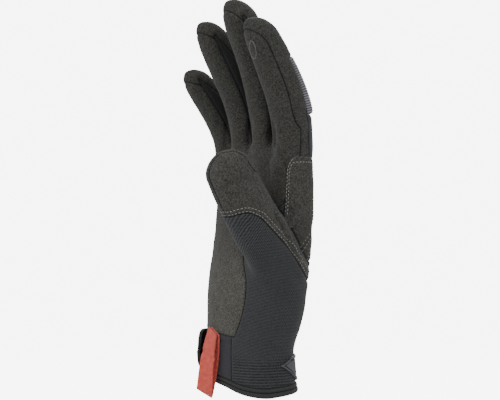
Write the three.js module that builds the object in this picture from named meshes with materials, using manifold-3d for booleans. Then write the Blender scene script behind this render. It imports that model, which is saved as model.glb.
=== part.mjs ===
// A work glove for the right hand, standing on its cuff with the fingers up.
// Millimetres. +Z runs from the wrist opening to the fingertips, the palm faces -Y, the back of
// the hand faces +Y and the thumb is on the +X side. The origin is the middle of the wrist
// opening, level with the lowest point of the hem.

import * as THREE from 'three';
import { mergeVertices } from 'three/addons/utils/BufferGeometryUtils.js';
import Module from 'manifold-3d';

// Driving sizes of the hand
const HAND_BREADTH = 90.8; // outside, across the knuckles
const WRIST_BREADTH = 66.6; // outside, across the cuff
const HEEL_DEPTH = 49.2; // outside, front to back at the heel of the hand
const WEB_HEIGHT = 157; // from the hem to the webs between the fingers
const ROOT_SINK = 17; // how far each finger starts below the webs
const BODY_SQUARENESS = 2.5; // 2 is an ellipse, more is squarer
const FINGER_SQUARENESS = 2.15;
const THUMB_SQUARENESS = 2.3;
const WALL = 1.8; // thickness of the cloth and suede
const SEAM_GAP = 0.3; // between two pieces at a seam
const KNIFE_MARGIN = 0.9; // how far a cutting wedge reaches past the skin of a finger
const BODY_MARGIN = 5; // the same for the palm and cuff

// Driving sizes of the trim
const HEM_HEIGHT = 6;
const HEM_PROUD = 0.6; // how far the binding stands out from the cuff
const HEM_RISE = 12.8; // how much higher the hem is on the palm side
const HEM_BLEND = 50; // height over which the rows turn level again
const TIP_SEAM_DROP = 8; // from a fingertip down to the seam across its pad
const RIB_PITCH = 2;
const RIB_RISE = 0.5; // height of a rib over its valley
const RIB_BULGE = 1; // how far the ribbed panel swells over the knuckle
const RIB_LEAN = 0.35; // below 1 the swell is fullest towards the palm end
const RIB_FADE = 0.6; // share of the height that is lost at the sides
const PATCH_THICKNESS = 1.2;
const STRAP_WIDTH = 25.5;
const STRAP_THICKNESS = 2.2;
const STRAP_LIFT = 2.4; // how far the free end stands off
const STRAP_FLARE = 0.6; // how much further its lower edge does
const LOOP_WIDTH = 10.4;
const LOOP_THICKNESS = 1.2;
const LOOP_LENGTH = 37;
const LOOP_SPREAD = 3.2; // between the two layers of the loop at its widest
const BADGE_HALF_WIDTH = 26.5;
const BADGE_HEIGHT = 16.5;
const BADGE_THICKNESS = 0.9;
const BADGE_RIM = 2.2; // width of the raised rim
const BADGE_RIM_RISE = 0.4;

// Sections of the palm and cuff. at is a share of WEB_HEIGHT, spread runs from 0 at the width of
// the wrist to 1 at the width of the hand, aside is a share of HAND_BREADTH, and depth and back,
// the shift towards the back of the hand, are shares of HEEL_DEPTH.
const BODY_ROWS = [
  { at: 0.0, spread: 0.0, depth: 0.93, aside: 0.0, back: 0.0 },
  { at: 0.08, spread: -0.02, depth: 0.92, aside: 0.0, back: -0.015 },
  { at: 0.18, spread: -0.02, depth: 0.91, aside: 0.0, back: -0.025 },
  { at: 0.32, spread: 0.29, depth: 1.0, aside: 0.009, back: 0.033 },
  { at: 0.45, spread: 0.54, depth: 0.985, aside: 0.017, back: 0.07 },
  { at: 0.585, spread: 0.76, depth: 0.875, aside: 0.013, back: 0.13 },
  { at: 0.715, spread: 0.93, depth: 0.748, aside: 0.0, back: 0.173 },
  { at: 0.86, spread: 1.0, depth: 0.684, aside: -0.005, back: 0.189 },
  { at: 0.945, spread: 0.95, depth: 0.618, aside: -0.005, back: 0.189 },
  { at: 1.0, spread: 0.69, depth: 0.427, aside: -0.005, back: 0.189 },
];

// Height of the hem round the wrist, as a share of HEM_RISE. Angles start at the thumb side and
// turn towards the back of the hand.
const HEM_ROWS = [
  { angle: -180, rise: 0.97 },
  { angle: -150, rise: 1.0 },
  { angle: -125, rise: 0.88 },
  { angle: -105, rise: 0.63 },
  { angle: -88, rise: 0.46 },
  { angle: -75, rise: 0.32 },
  { angle: -62, rise: 0.18 },
  { angle: -40, rise: 0.05 },
  { angle: -16, rise: 0.0 },
  { angle: 10, rise: 0.09 },
  { angle: 57, rise: 0.22 },
  { angle: 110, rise: 0.52 },
  { angle: 150, rise: 0.82 },
  { angle: 180, rise: 0.97 },
];

// The fingers and the thumb. root is the place of the first section: aside is a share of
// HAND_BREADTH, back of HEEL_DEPTH and up of WEB_HEIGHT. In rows, at is a share of the length,
// bend and lean are the slopes of the centre line in degrees towards the palm and the thumb side,
// and width and depth are shares of the finger's own.
const FINGERS = [
  {
    name: 'index', length: 101.5, width: 21, depth: 26.6, tip: 17, tipDrop: 0.45,
    root: { aside: 0.36, back: 0.185 },
    rows: [
      { at: 0.0, bend: 0, lean: 1.5, width: 1.0, depth: 1.0 },
      { at: 0.2, bend: 2, lean: 1.5, width: 1.0, depth: 1.0 },
      { at: 0.33, bend: 12.5, lean: 1.5, width: 1.0, depth: 0.99 },
      { at: 0.46, bend: 19.3, lean: 1.5, width: 0.99, depth: 0.965 },
      { at: 0.57, bend: 25.3, lean: 1.5, width: 0.98, depth: 0.94 },
      { at: 0.68, bend: 29.3, lean: 1.5, width: 0.96, depth: 0.9 },
      { at: 0.82, bend: 31, lean: 1.5, width: 0.93, depth: 0.81 },
      { at: 1.0, bend: 30, lean: 1.5, width: 0.88, depth: 0.72 },
    ],
  },
  {
    name: 'middle', length: 115, width: 21.2, depth: 26.4, tip: 17, tipDrop: 0.45,
    root: { aside: 0.117, back: 0.175 },
    rows: [
      { at: 0.0, bend: 0, lean: 0.6, width: 1.0, depth: 1.0 },
      { at: 0.18, bend: 2, lean: 0.6, width: 1.0, depth: 0.99 },
      { at: 0.33, bend: 12, lean: 0.6, width: 1.0, depth: 0.98 },
      { at: 0.5, bend: 18.2, lean: 0.6, width: 0.98, depth: 0.95 },
      { at: 0.68, bend: 24.3, lean: 0.6, width: 0.96, depth: 0.89 },
      { at: 0.84, bend: 25, lean: 0.6, width: 0.93, depth: 0.83 },
      { at: 1.0, bend: 24, lean: 0.6, width: 0.88, depth: 0.76 },
    ],
  },
  {
    name: 'ring', length: 105.5, width: 20.6, depth: 25, tip: 17, tipDrop: 0.45,
    root: { aside: -0.129, back: 0.136 },
    rows: [
      { at: 0.0, bend: 0, lean: -2.2, width: 1.0, depth: 1.0 },
      { at: 0.17, bend: 1, lean: -2.2, width: 1.0, depth: 0.99 },
      { at: 0.36, bend: 15, lean: -2.2, width: 0.99, depth: 0.97 },
      { at: 0.56, bend: 28, lean: -2.2, width: 0.97, depth: 0.92 },
      { at: 0.76, bend: 29, lean: -2.2, width: 0.94, depth: 0.86 },
      { at: 1.0, bend: 26, lean: -2.2, width: 0.88, depth: 0.76 },
    ],
  },
  {
    name: 'little', length: 76.5, width: 19, depth: 22.4, tip: 14, tipDrop: 0.45,
    root: { aside: -0.366, back: 0.144 },
    rows: [
      { at: 0.0, bend: 0, lean: -6.5, width: 1.0, depth: 1.0 },
      { at: 0.16, bend: 2, lean: -6.5, width: 1.0, depth: 0.99 },
      { at: 0.3, bend: 12.5, lean: -6.5, width: 0.99, depth: 0.97 },
      { at: 0.49, bend: 30, lean: -6.5, width: 0.98, depth: 0.93 },
      { at: 0.7, bend: 35.5, lean: -6.5, width: 0.95, depth: 0.87 },
      { at: 1.0, bend: 30, lean: -6.5, width: 0.89, depth: 0.79 },
    ],
  },
];

const THUMB = {
  name: 'thumb', length: 95, width: 34, depth: 28, tip: 13, tipDrop: 0.1,
  root: { aside: 0.33, back: 0.075, up: 0.459 },
  rows: [
    { at: 0.0, bend: 31, lean: 16, width: 1.0, depth: 1.0 },
    { at: 0.11, bend: 32, lean: 12, width: 1.0, depth: 1.0 },
    { at: 0.33, bend: 37, lean: 5, width: 0.94, depth: 0.98 },
    { at: 0.54, bend: 33, lean: 1, width: 0.87, depth: 0.92 },
    { at: 0.75, bend: 29, lean: -2, width: 0.84, depth: 0.87 },
    { at: 0.92, bend: 26, lean: -7, width: 0.8, depth: 0.82 },
    { at: 1.0, bend: 25, lean: -8, width: 0.78, depth: 0.8 },
  ],
};

// Where the panels meet. On a finger, angle 0 is the thumb side and 90 the back of the finger,
// and along is a share of its length.
const PALM_SEAM = 19; // below the side of the finger
const BACK_SEAM = 32; // above the side of the finger
const RIBS = { start: 0.33, end: 0.675, halfArc: 52 };
const FOURCHETTE_ROWS = [
  { along: 0.08, top: BACK_SEAM },
  { along: 0.6, top: BACK_SEAM },
  { along: 0.82, top: -PALM_SEAM + 6 },
];
const WEB_WIDTH = 6.5; // of the strip across the web between two fingers
const WEB_DEPTH = 17;
const INDEX_SIDE_START = 0.1;
const BACK_ARC = { low: -40, high: 220 }; // what is left of a finger's skin for the back
const BACK_EDGE = 197; // little-finger side, where the palm meets the back
const THUMB_SEAMS = { inner: 175, outer: -5 };
const THUMB_SEAM_LEVEL = 0.745; // share of WEB_HEIGHT, the stitched end of the thumb

// The seam slants down towards an angle round the hand. start is a share of HAND_BREADTH.
const THUMB_SEAM_SLOPE = { tilt: 42, towards: 57, start: -0.068 };
const BACK_PANEL = { bottom: 0.54, top: 1.07, low: 13 }; // shares of WEB_HEIGHT, and an angle

// Thumb-side edge of the palm panel: height as a share of WEB_HEIGHT, and the angle there.
const PALM_EDGE = [
  { at: 0.245, angle: -64 },
  { at: 0.3, angle: -57 },
  { at: 0.38, angle: -52 },
  { at: 0.46, angle: -52 },
  { at: 0.55, angle: -65 },
  { at: 0.64, angle: -72 },
  { at: 0.742, angle: -66 },
  { at: 0.748, angle: -34 },
  { at: 0.82, angle: -24 },
  { at: 0.93, angle: -12 },
  { at: 1.06, angle: -9 },
];

// The side panel below the index finger, which narrows to a V.
const SIDE_EDGES = [
  { at: 0.505, low: 9, high: 12 },
  { at: 0.55, low: -14, high: 15 },
  { at: 0.61, low: -34, high: 17 },
  { at: 0.72, low: -34, high: 17 },
  { at: 0.82, low: -24, high: 18 },
  { at: 0.93, low: -12, high: 24 },
  { at: 1.06, low: -9, high: 30 },
];

const PATCH = { bottom: 0.675, top: 0.955, low: -30, high: 32, corner: 0.16 };
const WRIST_FRONT = { bottom: -0.05, top: 0.24, low: -163, high: -75 };
const STRAP = { bottom: 13.4, freeEnd: -127, sewnEnd: -250, loose: 0.286, round: 0.083, corner: 0.14 };
const LOOP = {
  up: 0.245, angle: -95, swing: 6.5, twist: 48, tilt: 28, topTilt: 0.6, fullest: 0.8, skew: 0.4,
};
const BADGE = { up: 0.11, angle: 54 };

// Half width of the badge from its lower edge at -1 to its upper edge at 1
const SHIELD_ROWS = [
  { up: -1, width: 0.35 },
  { up: 0.4, width: 1.0 },
  { up: 1, width: 0.8 },
];

// Binding of the hem: up is a share of HEM_HEIGHT and out of HEM_PROUD
const HEM_PROFILE = [
  { up: 0.0, out: 0.33 },
  { up: 0.15, out: 1.0 },
  { up: 0.5, out: 1.0 },
  { up: 0.6, out: 0.33 },
  { up: 0.7, out: 1.0 },
  { up: 1.0, out: 0.5 },
];

// Colours and finishes
const FINISHES = {
  suede: { color: 0x53524f, roughness: 0.95, metalness: 0 },
  thumbSuede: { color: 0x5b5a57, roughness: 0.95, metalness: 0 },
  fourchette: { color: 0x2b2d2c, roughness: 0.9, metalness: 0 },
  backCloth: { color: 0x42444a, roughness: 0.8, metalness: 0 },
  knit: { color: 0x45474a, roughness: 0.95, metalness: 0 },
  ribs: { color: 0x6b6b70, roughness: 0.6, metalness: 0 },
  hem: { color: 0x323333, roughness: 0.9, metalness: 0 },
  strap: { color: 0x201c19, roughness: 0.7, metalness: 0 },
  webbing: { color: 0xda7265, roughness: 0.8, metalness: 0 },
  rubber: { color: 0x515257, roughness: 0.6, metalness: 0 },
};

const RADIAN = Math.PI / 180;
const FULL_TURN = 360;
const BODY_RINGS = [0.13, 0.22, 0.31, 0.4, 0.5, 0.6, 0.7, 0.8, 0.9, 0.96, 1]; // of WEB_HEIGHT
const BODY_SIDES = 24;
const FINGER_SIDES = 12;
const THUMB_SIDES = 14;
const FINGER_RINGS = 6;
const TIP_RINGS = 3;
const THUMB_TIP_RINGS = 4;
const INNER_TIP_RINGS = 2;
const INNER_SIDES_SHARE = 0.62;
const OVERRUN = 6; // how far a knife runs past the end of a finger
const WEDGE_STEP = 30; // degrees between the facets of a knife round a finger
const BODY_WEDGE_STEP = 13; // the same round the palm and cuff
const SLIVER = 0.004; // points closer than this are one point

const outerHeights = [0, ...BODY_RINGS.map((at) => at * WEB_HEIGHT)];
const innerHeights = [-HEM_HEIGHT, ...BODY_RINGS.filter((at, i) => i % 2 === 0 || at > 0.9)
  .map((at) => Math.min(at * WEB_HEIGHT, WEB_HEIGHT - WALL))];
const innerSides = (sides) => Math.round((sides * INNER_SIDES_SHARE) / 2) * 2;

const wasm = await Module();
wasm.setup();

// Smooth value of one column of a table, by slopes through the neighbouring rows
function columnAt(rows, key, column, place) {
  const last = rows.length - 1;
  const clamped = Math.min(Math.max(place, rows[0][key]), rows[last][key]);
  let i = 0;
  while (i < last - 1 && clamped > rows[i + 1][key]) {
    i += 1;
  }
  const slope = (k) => {
    const before = rows[Math.max(k - 1, 0)];
    const after = rows[Math.min(k + 1, last)];
    return (after[column] - before[column]) / (after[key] - before[key]);
  };
  const span = rows[i + 1][key] - rows[i][key];
  const s = (clamped - rows[i][key]) / span;
  const s2 = s * s;
  const s3 = s2 * s;
  return (2 * s3 - 3 * s2 + 1) * rows[i][column]
    + (s3 - 2 * s2 + s) * span * slope(i)
    + (3 * s2 - 2 * s3) * rows[i + 1][column]
    + (s3 - s2) * span * slope(i + 1);
}

// The same, by straight lines between the rows
function lineAt(rows, key, column, place) {
  const last = rows.length - 1;
  let i = 0;
  while (i < last - 1 && place > rows[i + 1][key]) {
    i += 1;
  }
  const s = (place - rows[i][key]) / (rows[i + 1][key] - rows[i][key]);
  return rows[i][column] + (rows[i + 1][column] - rows[i][column]) * Math.min(Math.max(s, 0), 1);
}

// A point of a section between an ellipse and a box
function sectionPoint(angle, squareness) {
  const c = Math.cos(angle * RADIAN);
  const s = Math.sin(angle * RADIAN);
  const power = 2 / squareness;
  return new THREE.Vector2(
    Math.sign(c) * Math.abs(c) ** power,
    Math.sign(s) * Math.abs(s) ** power,
  );
}

// A hollow finger of the glove: a centre line that bends, with a section at each place
class Finger {
  constructor(spec, side, squareness) {
    this.name = spec.name;
    this.rows = spec.rows;
    this.length = spec.length;
    this.halfWidth = spec.width / 2;
    this.halfDepth = spec.depth / 2;
    this.tip = spec.tip;
    this.tipDrop = spec.tipDrop;
    this.side = side;
    this.squareness = squareness;
    const steps = 100;
    const place = new THREE.Vector3(
      spec.root.aside * HAND_BREADTH,
      spec.root.back * HEEL_DEPTH,
      spec.root.up === undefined ? WEB_HEIGHT - ROOT_SINK : spec.root.up * WEB_HEIGHT,
    );
    this.line = [place.clone()];
    for (let i = 0; i < steps; i += 1) {
      const step = this.direction((i + 0.5) / steps).multiplyScalar(this.length / steps);
      this.line.push(place.add(step).clone());
    }
    this.stops = this.places(FINGER_RINGS, 0);
    this.frames = this.stops.map((along) => this.smoothFrame(along));
  }

  direction(at) {
    const bend = columnAt(this.rows, 'at', 'bend', at);
    const lean = columnAt(this.rows, 'at', 'lean', at);
    return new THREE.Vector3(Math.tan(lean * RADIAN), -Math.tan(bend * RADIAN), 1).normalize();
  }

  // along is in millimetres from the root; past either end the line goes straight on
  smoothFrame(along) {
    const at = along / this.length;
    const inside = Math.min(Math.max(at, 0), 1);
    const steps = this.line.length - 1;
    const i = Math.min(Math.floor(inside * steps), steps - 1);
    const centre = this.line[i].clone().lerp(this.line[i + 1], inside * steps - i);
    const ahead = this.direction(inside);
    centre.addScaledVector(ahead, (at - inside) * this.length);
    const across = this.side.clone().addScaledVector(ahead, -this.side.dot(ahead)).normalize();
    const dorsal = ahead.clone().cross(across);
    const width = this.halfWidth * columnAt(this.rows, 'at', 'width', inside);
    const depth = this.halfDepth * columnAt(this.rows, 'at', 'depth', inside);
    return { centre, across, dorsal, width, depth };
  }

  // The same on the facets: straight between two rings of the skin
  frame(along) {
    const last = this.stops.length - 1;
    if (along <= this.stops[0] || along >= this.stops[last]) {
      return this.smoothFrame(along);
    }
    const i = this.stops.findIndex((stop) => stop > along) - 1;
    const s = (along - this.stops[i]) / (this.stops[i + 1] - this.stops[i]);
    const [a, b] = [this.frames[i], this.frames[i + 1]];
    return {
      centre: a.centre.clone().lerp(b.centre, s),
      across: a.across.clone().lerp(b.across, s),
      dorsal: a.dorsal.clone().lerp(b.dorsal, s),
      width: a.width + (b.width - a.width) * s,
      depth: a.depth + (b.depth - a.depth) * s,
    };
  }

  // A point grow millimetres outside the skin. shorten moves the whole tip back for the lining.
  point(along, angle, grow, shorten = 0) {
    const { centre, across, dorsal, width, depth } = this.frame(along);
    const start = this.length - shorten - this.tip;
    const q = Math.min(Math.max((along - start) / this.tip, 0), 1);
    const shrink = Math.sqrt(Math.max(1 - q * q, 0));
    const p = sectionPoint(angle, this.squareness);
    centre.addScaledVector(dorsal, -this.tipDrop * depth * (1 - shrink));
    const round = grow < 0 ? shrink : 1;
    centre.addScaledVector(across, (width * shrink + grow * round) * p.x);
    centre.addScaledVector(dorsal, (depth * shrink + grow * round) * p.y);
    return centre;
  }

  // Places of the rings from the root to the tip, closer together where the tip rounds off
  places(count, tipCount, shorten = 0) {
    const start = this.length - shorten - this.tip;
    const list = [];
    for (let i = 0; i <= count; i += 1) {
      list.push((start * i) / count);
    }
    for (let i = 1; i <= tipCount; i += 1) {
      list.push(start + this.tip * Math.sin(((i / tipCount) * 90 - 1) * RADIAN));
    }
    return list;
  }

  solid(sides, grow, count, tipCount) {
    const shorten = Math.max(-grow, 0);
    return ringSolid(this.places(count, tipCount, shorten).map(
      (along) => angles(sides).map((angle) => this.point(along, angle, grow, shorten)),
    ));
  }

  // A point on a straight-sided tube a little larger than the skin, with no rounded tip
  sleevePoint({ centre, across, dorsal, width, depth }, angle, grow) {
    const p = sectionPoint(angle, this.squareness);
    return centre.clone().addScaledVector(across, (width + grow) * p.x)
      .addScaledVector(dorsal, (depth + grow) * p.y);
  }

  // The whole finger between two places, a little larger than its skin
  slice(from, to, grow) {
    return ringSolid(placesBetween(this.stops, from, to).map((along) => {
      const frame = this.frame(along);
      return angles(THUMB_SIDES).map((angle) => this.sleevePoint(frame, angle, grow));
    }));
  }

  // A wedge from the centre line out past the skin. rows hold along in millimetres and two angles.
  wedge(rows, gap) {
    const start = rows[0].along - gap;
    const end = rows[rows.length - 1].along + gap;
    const spread = (gap / this.halfWidth) / RADIAN;
    const steps = Math.ceil((rows[0].high - rows[0].low) / WEDGE_STEP);
    return ringSolid(placesBetween(this.stops, start, end).map((along) => {
      const low = lineAt(rows, 'along', 'low', along) - spread;
      const high = lineAt(rows, 'along', 'high', along) + spread;
      const frame = this.frame(along);
      return fan(frame.centre, low, high, steps,
        (angle) => this.sleevePoint(frame, angle, KNIFE_MARGIN));
    }));
  }
}

// Evenly spaced angles in degrees
function angles(count) {
  return Array.from({ length: count }, (_, j) => (FULL_TURN * j) / count);
}

// A centre and the points of an arc round it
function fan(centre, low, high, steps, pointAt) {
  const ring = [centre.clone()];
  for (let j = 0; j <= steps; j += 1) {
    ring.push(pointAt(low + ((high - low) * j) / steps));
  }
  return ring;
}

// How much the hem is raised at an angle round the wrist
function hemRise(angle) {
  const turned = ((((angle + 180) % FULL_TURN) + FULL_TURN) % FULL_TURN) - 180;
  return HEM_RISE * columnAt(HEM_ROWS, 'angle', 'rise', turned);
}

// A point of the palm and cuff, grow millimetres outside their skin
function bodyPoint(height, angle, grow) {
  const at = height / WEB_HEIGHT;
  const spread = columnAt(BODY_ROWS, 'at', 'spread', at);
  const width = (WRIST_BREADTH + (HAND_BREADTH - WRIST_BREADTH) * spread) / 2 + grow;
  const depth = (HEEL_DEPTH / 2) * columnAt(BODY_ROWS, 'at', 'depth', at) + grow;
  const p = sectionPoint(angle, BODY_SQUARENESS);
  const level = Math.min(Math.max(1 - height / HEM_BLEND, 0), 1);
  return new THREE.Vector3(
    columnAt(BODY_ROWS, 'at', 'aside', at) * HAND_BREADTH + width * p.x,
    columnAt(BODY_ROWS, 'at', 'back', at) * HEEL_DEPTH + depth * p.y,
    height + hemRise(angle) * level,
  );
}

function bodyCentre(height) {
  const at = height / WEB_HEIGHT;
  return new THREE.Vector3(
    columnAt(BODY_ROWS, 'at', 'aside', at) * HAND_BREADTH,
    columnAt(BODY_ROWS, 'at', 'back', at) * HEEL_DEPTH,
    height,
  );
}

function bodySolid(sides, grow, heights) {
  return ringSolid(heights.map(
    (height) => angles(sides).map((angle) => bodyPoint(height, angle, grow)),
  ));
}

// The two ends and every place of a list that lies well between them
function placesBetween(list, start, end) {
  return [start, ...list.filter((place) => place > start + 1 && place < end - 1), end];
}

// A wedge of the palm and cuff from their middle out past the skin
function bodyWedge(rows, gap) {
  const start = rows[0].at * WEB_HEIGHT - gap;
  const end = rows[rows.length - 1].at * WEB_HEIGHT + gap;
  const spread = gap / (HEEL_DEPTH / 2) / RADIAN;
  const widest = Math.max(...rows.map(({ low, high }) => high - low));
  const steps = Math.ceil(widest / BODY_WEDGE_STEP);
  const heights = [...outerHeights, ...rows.map(({ at }) => at * WEB_HEIGHT)].sort((a, b) => a - b);
  return ringSolid(placesBetween(heights, start, end).map((height) => {
    const low = lineAt(rows, 'at', 'low', height / WEB_HEIGHT) - spread;
    const high = lineAt(rows, 'at', 'high', height / WEB_HEIGHT) + spread;
    return fan(bodyCentre(height), low, high, steps,
      (angle) => bodyPoint(height, angle, BODY_MARGIN));
  }));
}

// A solid from vertices and triangles, turned so that its faces point out
function solidOf(vertices, triangles) {
  const geometry = new THREE.BufferGeometry();
  const flat = vertices.flatMap((v) => [v.x, v.y, v.z]);
  geometry.setAttribute('position', new THREE.Float32BufferAttribute(flat, 3));
  geometry.setIndex(triangles);
  return solidFromGeometry(geometry);
}

function solidFromGeometry(geometry, tolerance = 1e-5) {
  geometry.deleteAttribute('normal');
  geometry.deleteAttribute('uv');
  const merged = mergeVertices(geometry, tolerance);
  const vertProperties = Float32Array.from(merged.attributes.position.array);
  const triVerts = Uint32Array.from(merged.index.array);
  let sum = 0;
  for (let i = 0; i < triVerts.length; i += 3) {
    const [a, b, c] = [0, 1, 2].map(
      (k) => new THREE.Vector3().fromArray(vertProperties, triVerts[i + k] * 3),
    );
    sum += a.dot(b.cross(c));
  }
  if (sum < 0) {
    for (let i = 0; i < triVerts.length; i += 3) {
      [triVerts[i + 1], triVerts[i + 2]] = [triVerts[i + 2], triVerts[i + 1]];
    }
  }
  return new wasm.Manifold(new wasm.Mesh({ numProp: 3, vertProperties, triVerts }));
}

// A skin through rings of equal count, closed at both ends by a fan from each ring's first point
function ringSolid(rings) {
  const count = rings[0].length;
  const triangles = [];
  for (let i = 0; i + 1 < rings.length; i += 1) {
    for (let j = 0; j < count; j += 1) {
      const a = i * count + j;
      const b = i * count + ((j + 1) % count);
      triangles.push(a, b, b + count, a, b + count, a + count);
    }
  }
  const last = (rings.length - 1) * count;
  for (let j = 1; j + 1 < count; j += 1) {
    triangles.push(0, j + 1, j, last, last + j, last + j + 1);
  }
  return solidOf(rings.flat(), triangles);
}

// A closed band: rings that follow each other all the way round
function bandSolid(rings) {
  const count = rings[0].length;
  const triangles = [];
  for (let i = 0; i < rings.length; i += 1) {
    const next = ((i + 1) % rings.length) * count;
    for (let j = 0; j < count; j += 1) {
      const a = i * count + j;
      const b = i * count + ((j + 1) % count);
      const c = next + ((j + 1) % count);
      const d = next + j;
      triangles.push(a, b, c, a, c, d);
    }
  }
  return solidOf(rings.flat(), triangles);
}

// A curved sheet with thickness, from its outer and inner grid of points
function sheetSolid(outer, inner) {
  const rows = outer.length;
  const columns = outer[0].length;
  const below = rows * columns;
  const triangles = [];
  const quad = (a, b, c, d) => triangles.push(a, b, c, a, c, d);
  const id = (i, j) => i * columns + j;
  for (let i = 0; i + 1 < rows; i += 1) {
    for (let j = 0; j + 1 < columns; j += 1) {
      quad(id(i, j), id(i, j + 1), id(i + 1, j + 1), id(i + 1, j));
      quad(below + id(i, j), below + id(i + 1, j), below + id(i + 1, j + 1), below + id(i, j + 1));
    }
    quad(id(i, 0), id(i + 1, 0), below + id(i + 1, 0), below + id(i, 0));
    const e = columns - 1;
    quad(id(i, e), below + id(i, e), below + id(i + 1, e), id(i + 1, e));
  }
  for (let j = 0; j + 1 < columns; j += 1) {
    const e = rows - 1;
    quad(id(0, j), below + id(0, j), below + id(0, j + 1), id(0, j + 1));
    quad(id(e, j), id(e, j + 1), below + id(e, j + 1), below + id(e, j));
  }
  return solidOf([...outer.flat(), ...inner.flat()], triangles);
}

// A flat outline carried through several places. place(u, v, s) gives a point of copy s.
function outlineSolid(points, copies, place) {
  const outline = THREE.ShapeUtils.isClockWise(points) ? points.slice().reverse() : points;
  const faces = THREE.ShapeUtils.triangulateShape(outline, []);
  const count = outline.length;
  const vertices = [];
  const triangles = [];
  for (let s = 0; s < copies; s += 1) {
    for (const p of outline) {
      vertices.push(place(p.x, p.y, s));
    }
  }
  for (let s = 0; s + 1 < copies; s += 1) {
    for (let j = 0; j < count; j += 1) {
      const a = s * count + j;
      const b = s * count + ((j + 1) % count);
      triangles.push(a, b, b + count, a, b + count, a + count);
    }
  }
  const last = (copies - 1) * count;
  for (const [a, b, c] of faces) {
    triangles.push(a, c, b, last + a, last + b, last + c);
  }
  return solidOf(vertices, triangles);
}

// Everything on the upper side of a tilted plane through a point
function halfSpace(point, tilt, towards) {
  const size = 4 * WEB_HEIGHT;
  const box = new THREE.BoxGeometry(size, size, size);
  box.translate(0, 0, size / 2);
  const axis = new THREE.Vector3(0, 0, 1).cross(
    new THREE.Vector3(Math.cos(towards * RADIAN), Math.sin(towards * RADIAN), 0),
  );
  box.applyQuaternion(new THREE.Quaternion().setFromAxisAngle(axis.normalize(), tilt * RADIAN));
  box.translate(point.x, point.y, point.z);
  return solidFromGeometry(box);
}

function join(solids) {
  return solids.reduce((sum, solid) => sum.add(solid));
}

// The largest connected piece of a solid
function mainBody(solid) {
  const pieces = solid.decompose();
  return pieces.reduce((best, piece) => (piece.volume() > best.volume() ? piece : best));
}

// Set out the fingers and the thumb
const fingers = FINGERS.map(
  (spec) => new Finger(spec, new THREE.Vector3(1, 0, 0), FINGER_SQUARENESS),
);
const [index, middle, ring, little] = fingers;
const thumb = new Finger(THUMB, new THREE.Vector3(0, 0.83, 0.55), THUMB_SQUARENESS);

// The glove's wall: the outer form less the room for the hand, cut off above the hem
const outerForm = join([
  bodySolid(BODY_SIDES, 0, outerHeights),
  ...fingers.map((finger) => finger.solid(FINGER_SIDES, 0, FINGER_RINGS, TIP_RINGS)),
  thumb.solid(THUMB_SIDES, 0, FINGER_RINGS, THUMB_TIP_RINGS),
]);
const innerForm = join([
  bodySolid(innerSides(BODY_SIDES), -WALL, innerHeights),
  ...fingers.map(
    (finger) => finger.solid(innerSides(FINGER_SIDES), -WALL, FINGER_RINGS - 2, INNER_TIP_RINGS),
  ),
  thumb.solid(innerSides(THUMB_SIDES), -WALL, FINGER_RINGS - 2, INNER_TIP_RINGS),
]);

function hemCut() {
  const top = HEM_HEIGHT + SEAM_GAP;
  const profile = [
    [-HEM_HEIGHT, -3 * WALL], [-HEM_HEIGHT, BODY_MARGIN], [top, BODY_MARGIN], [top, -3 * WALL],
  ];
  return bandSolid(angles(BODY_SIDES).map(
    (angle) => profile.map(([height, grow]) => bodyPoint(height, angle, grow)),
  ));
}
let wall = outerForm.subtract(innerForm).subtract(hemCut());

// Cut one piece out of the wall and leave a seam gap round it
function cutPiece(knife, grownKnife) {
  const piece = mainBody(wall.intersect(knife));
  wall = wall.subtract(knife.add(grownKnife));
  return piece;
}

// Ribbed flex panels over the middle knuckles
function ribWedge(finger) {
  const rows = [RIBS.start, RIBS.end].map((at) => ({
    along: at * finger.length, low: 90 - RIBS.halfArc, high: 90 + RIBS.halfArc,
  }));
  return finger.wedge(rows, 2 * SEAM_GAP);
}

function ribPanel(finger) {
  const start = RIBS.start * finger.length + SEAM_GAP;
  const end = RIBS.end * finger.length - SEAM_GAP;
  const ribs = Math.round((end - start) / RIB_PITCH);
  const outline = [];
  for (let i = 0; i <= 2 * ribs; i += 1) {
    const s = i / (2 * ribs);
    const swell = RIB_BULGE * Math.sin(Math.PI * s ** RIB_LEAN);
    outline.push(new THREE.Vector2(start + (end - start) * s, swell + (i % 2) * RIB_RISE));
  }
  const backing = 5;
  for (let i = backing; i >= 0; i -= 1) {
    outline.push(new THREE.Vector2(start + ((end - start) * i) / backing, -WALL));
  }
  const copies = 3;
  const halfArc = RIBS.halfArc - (SEAM_GAP / finger.halfWidth) / RADIAN;
  return outlineSolid(outline, copies, (along, height, s) => {
    const t = (2 * s) / (copies - 1) - 1;
    const fade = height > 0 ? 1 - t * t * RIB_FADE : 1;
    return finger.point(along, 90 + halfArc * t, height * fade);
  });
}

for (const finger of fingers) {
  wall = wall.subtract(ribWedge(finger));
}
const ribPanels = fingers.map(ribPanel);

// Dark strips between the fingers: one side of each finger and the web that joins them
function stripWedge(finger, mirrored, gap) {
  const rows = FOURCHETTE_ROWS.map(({ along, top }) => ({
    along: along * finger.length,
    low: mirrored ? 180 - top : -PALM_SEAM,
    high: mirrored ? 180 + PALM_SEAM : top,
  }));
  return finger.wedge(rows, gap);
}

function webBlock(near, far, gap) {
  const a = near.frame(ROOT_SINK).centre;
  const b = far.frame(ROOT_SINK).centre;
  const width = WEB_WIDTH + 2 * gap;
  const block = new THREE.BoxGeometry(width, WEB_DEPTH + 2 * gap, WALL * 4 + 2 * gap);
  const mid = a.lerp(b, 0.5);
  block.translate(mid.x, mid.y, WEB_HEIGHT);
  return solidFromGeometry(block);
}

function fourchette(near, far) {
  const knife = (gap) => join([
    stripWedge(near, true, gap),
    stripWedge(far, false, gap),
    webBlock(near, far, gap),
  ]);
  return cutPiece(knife(0), knife(SEAM_GAP));
}

const strips = [fourchette(index, middle), fourchette(middle, ring), fourchette(ring, little)];

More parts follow.
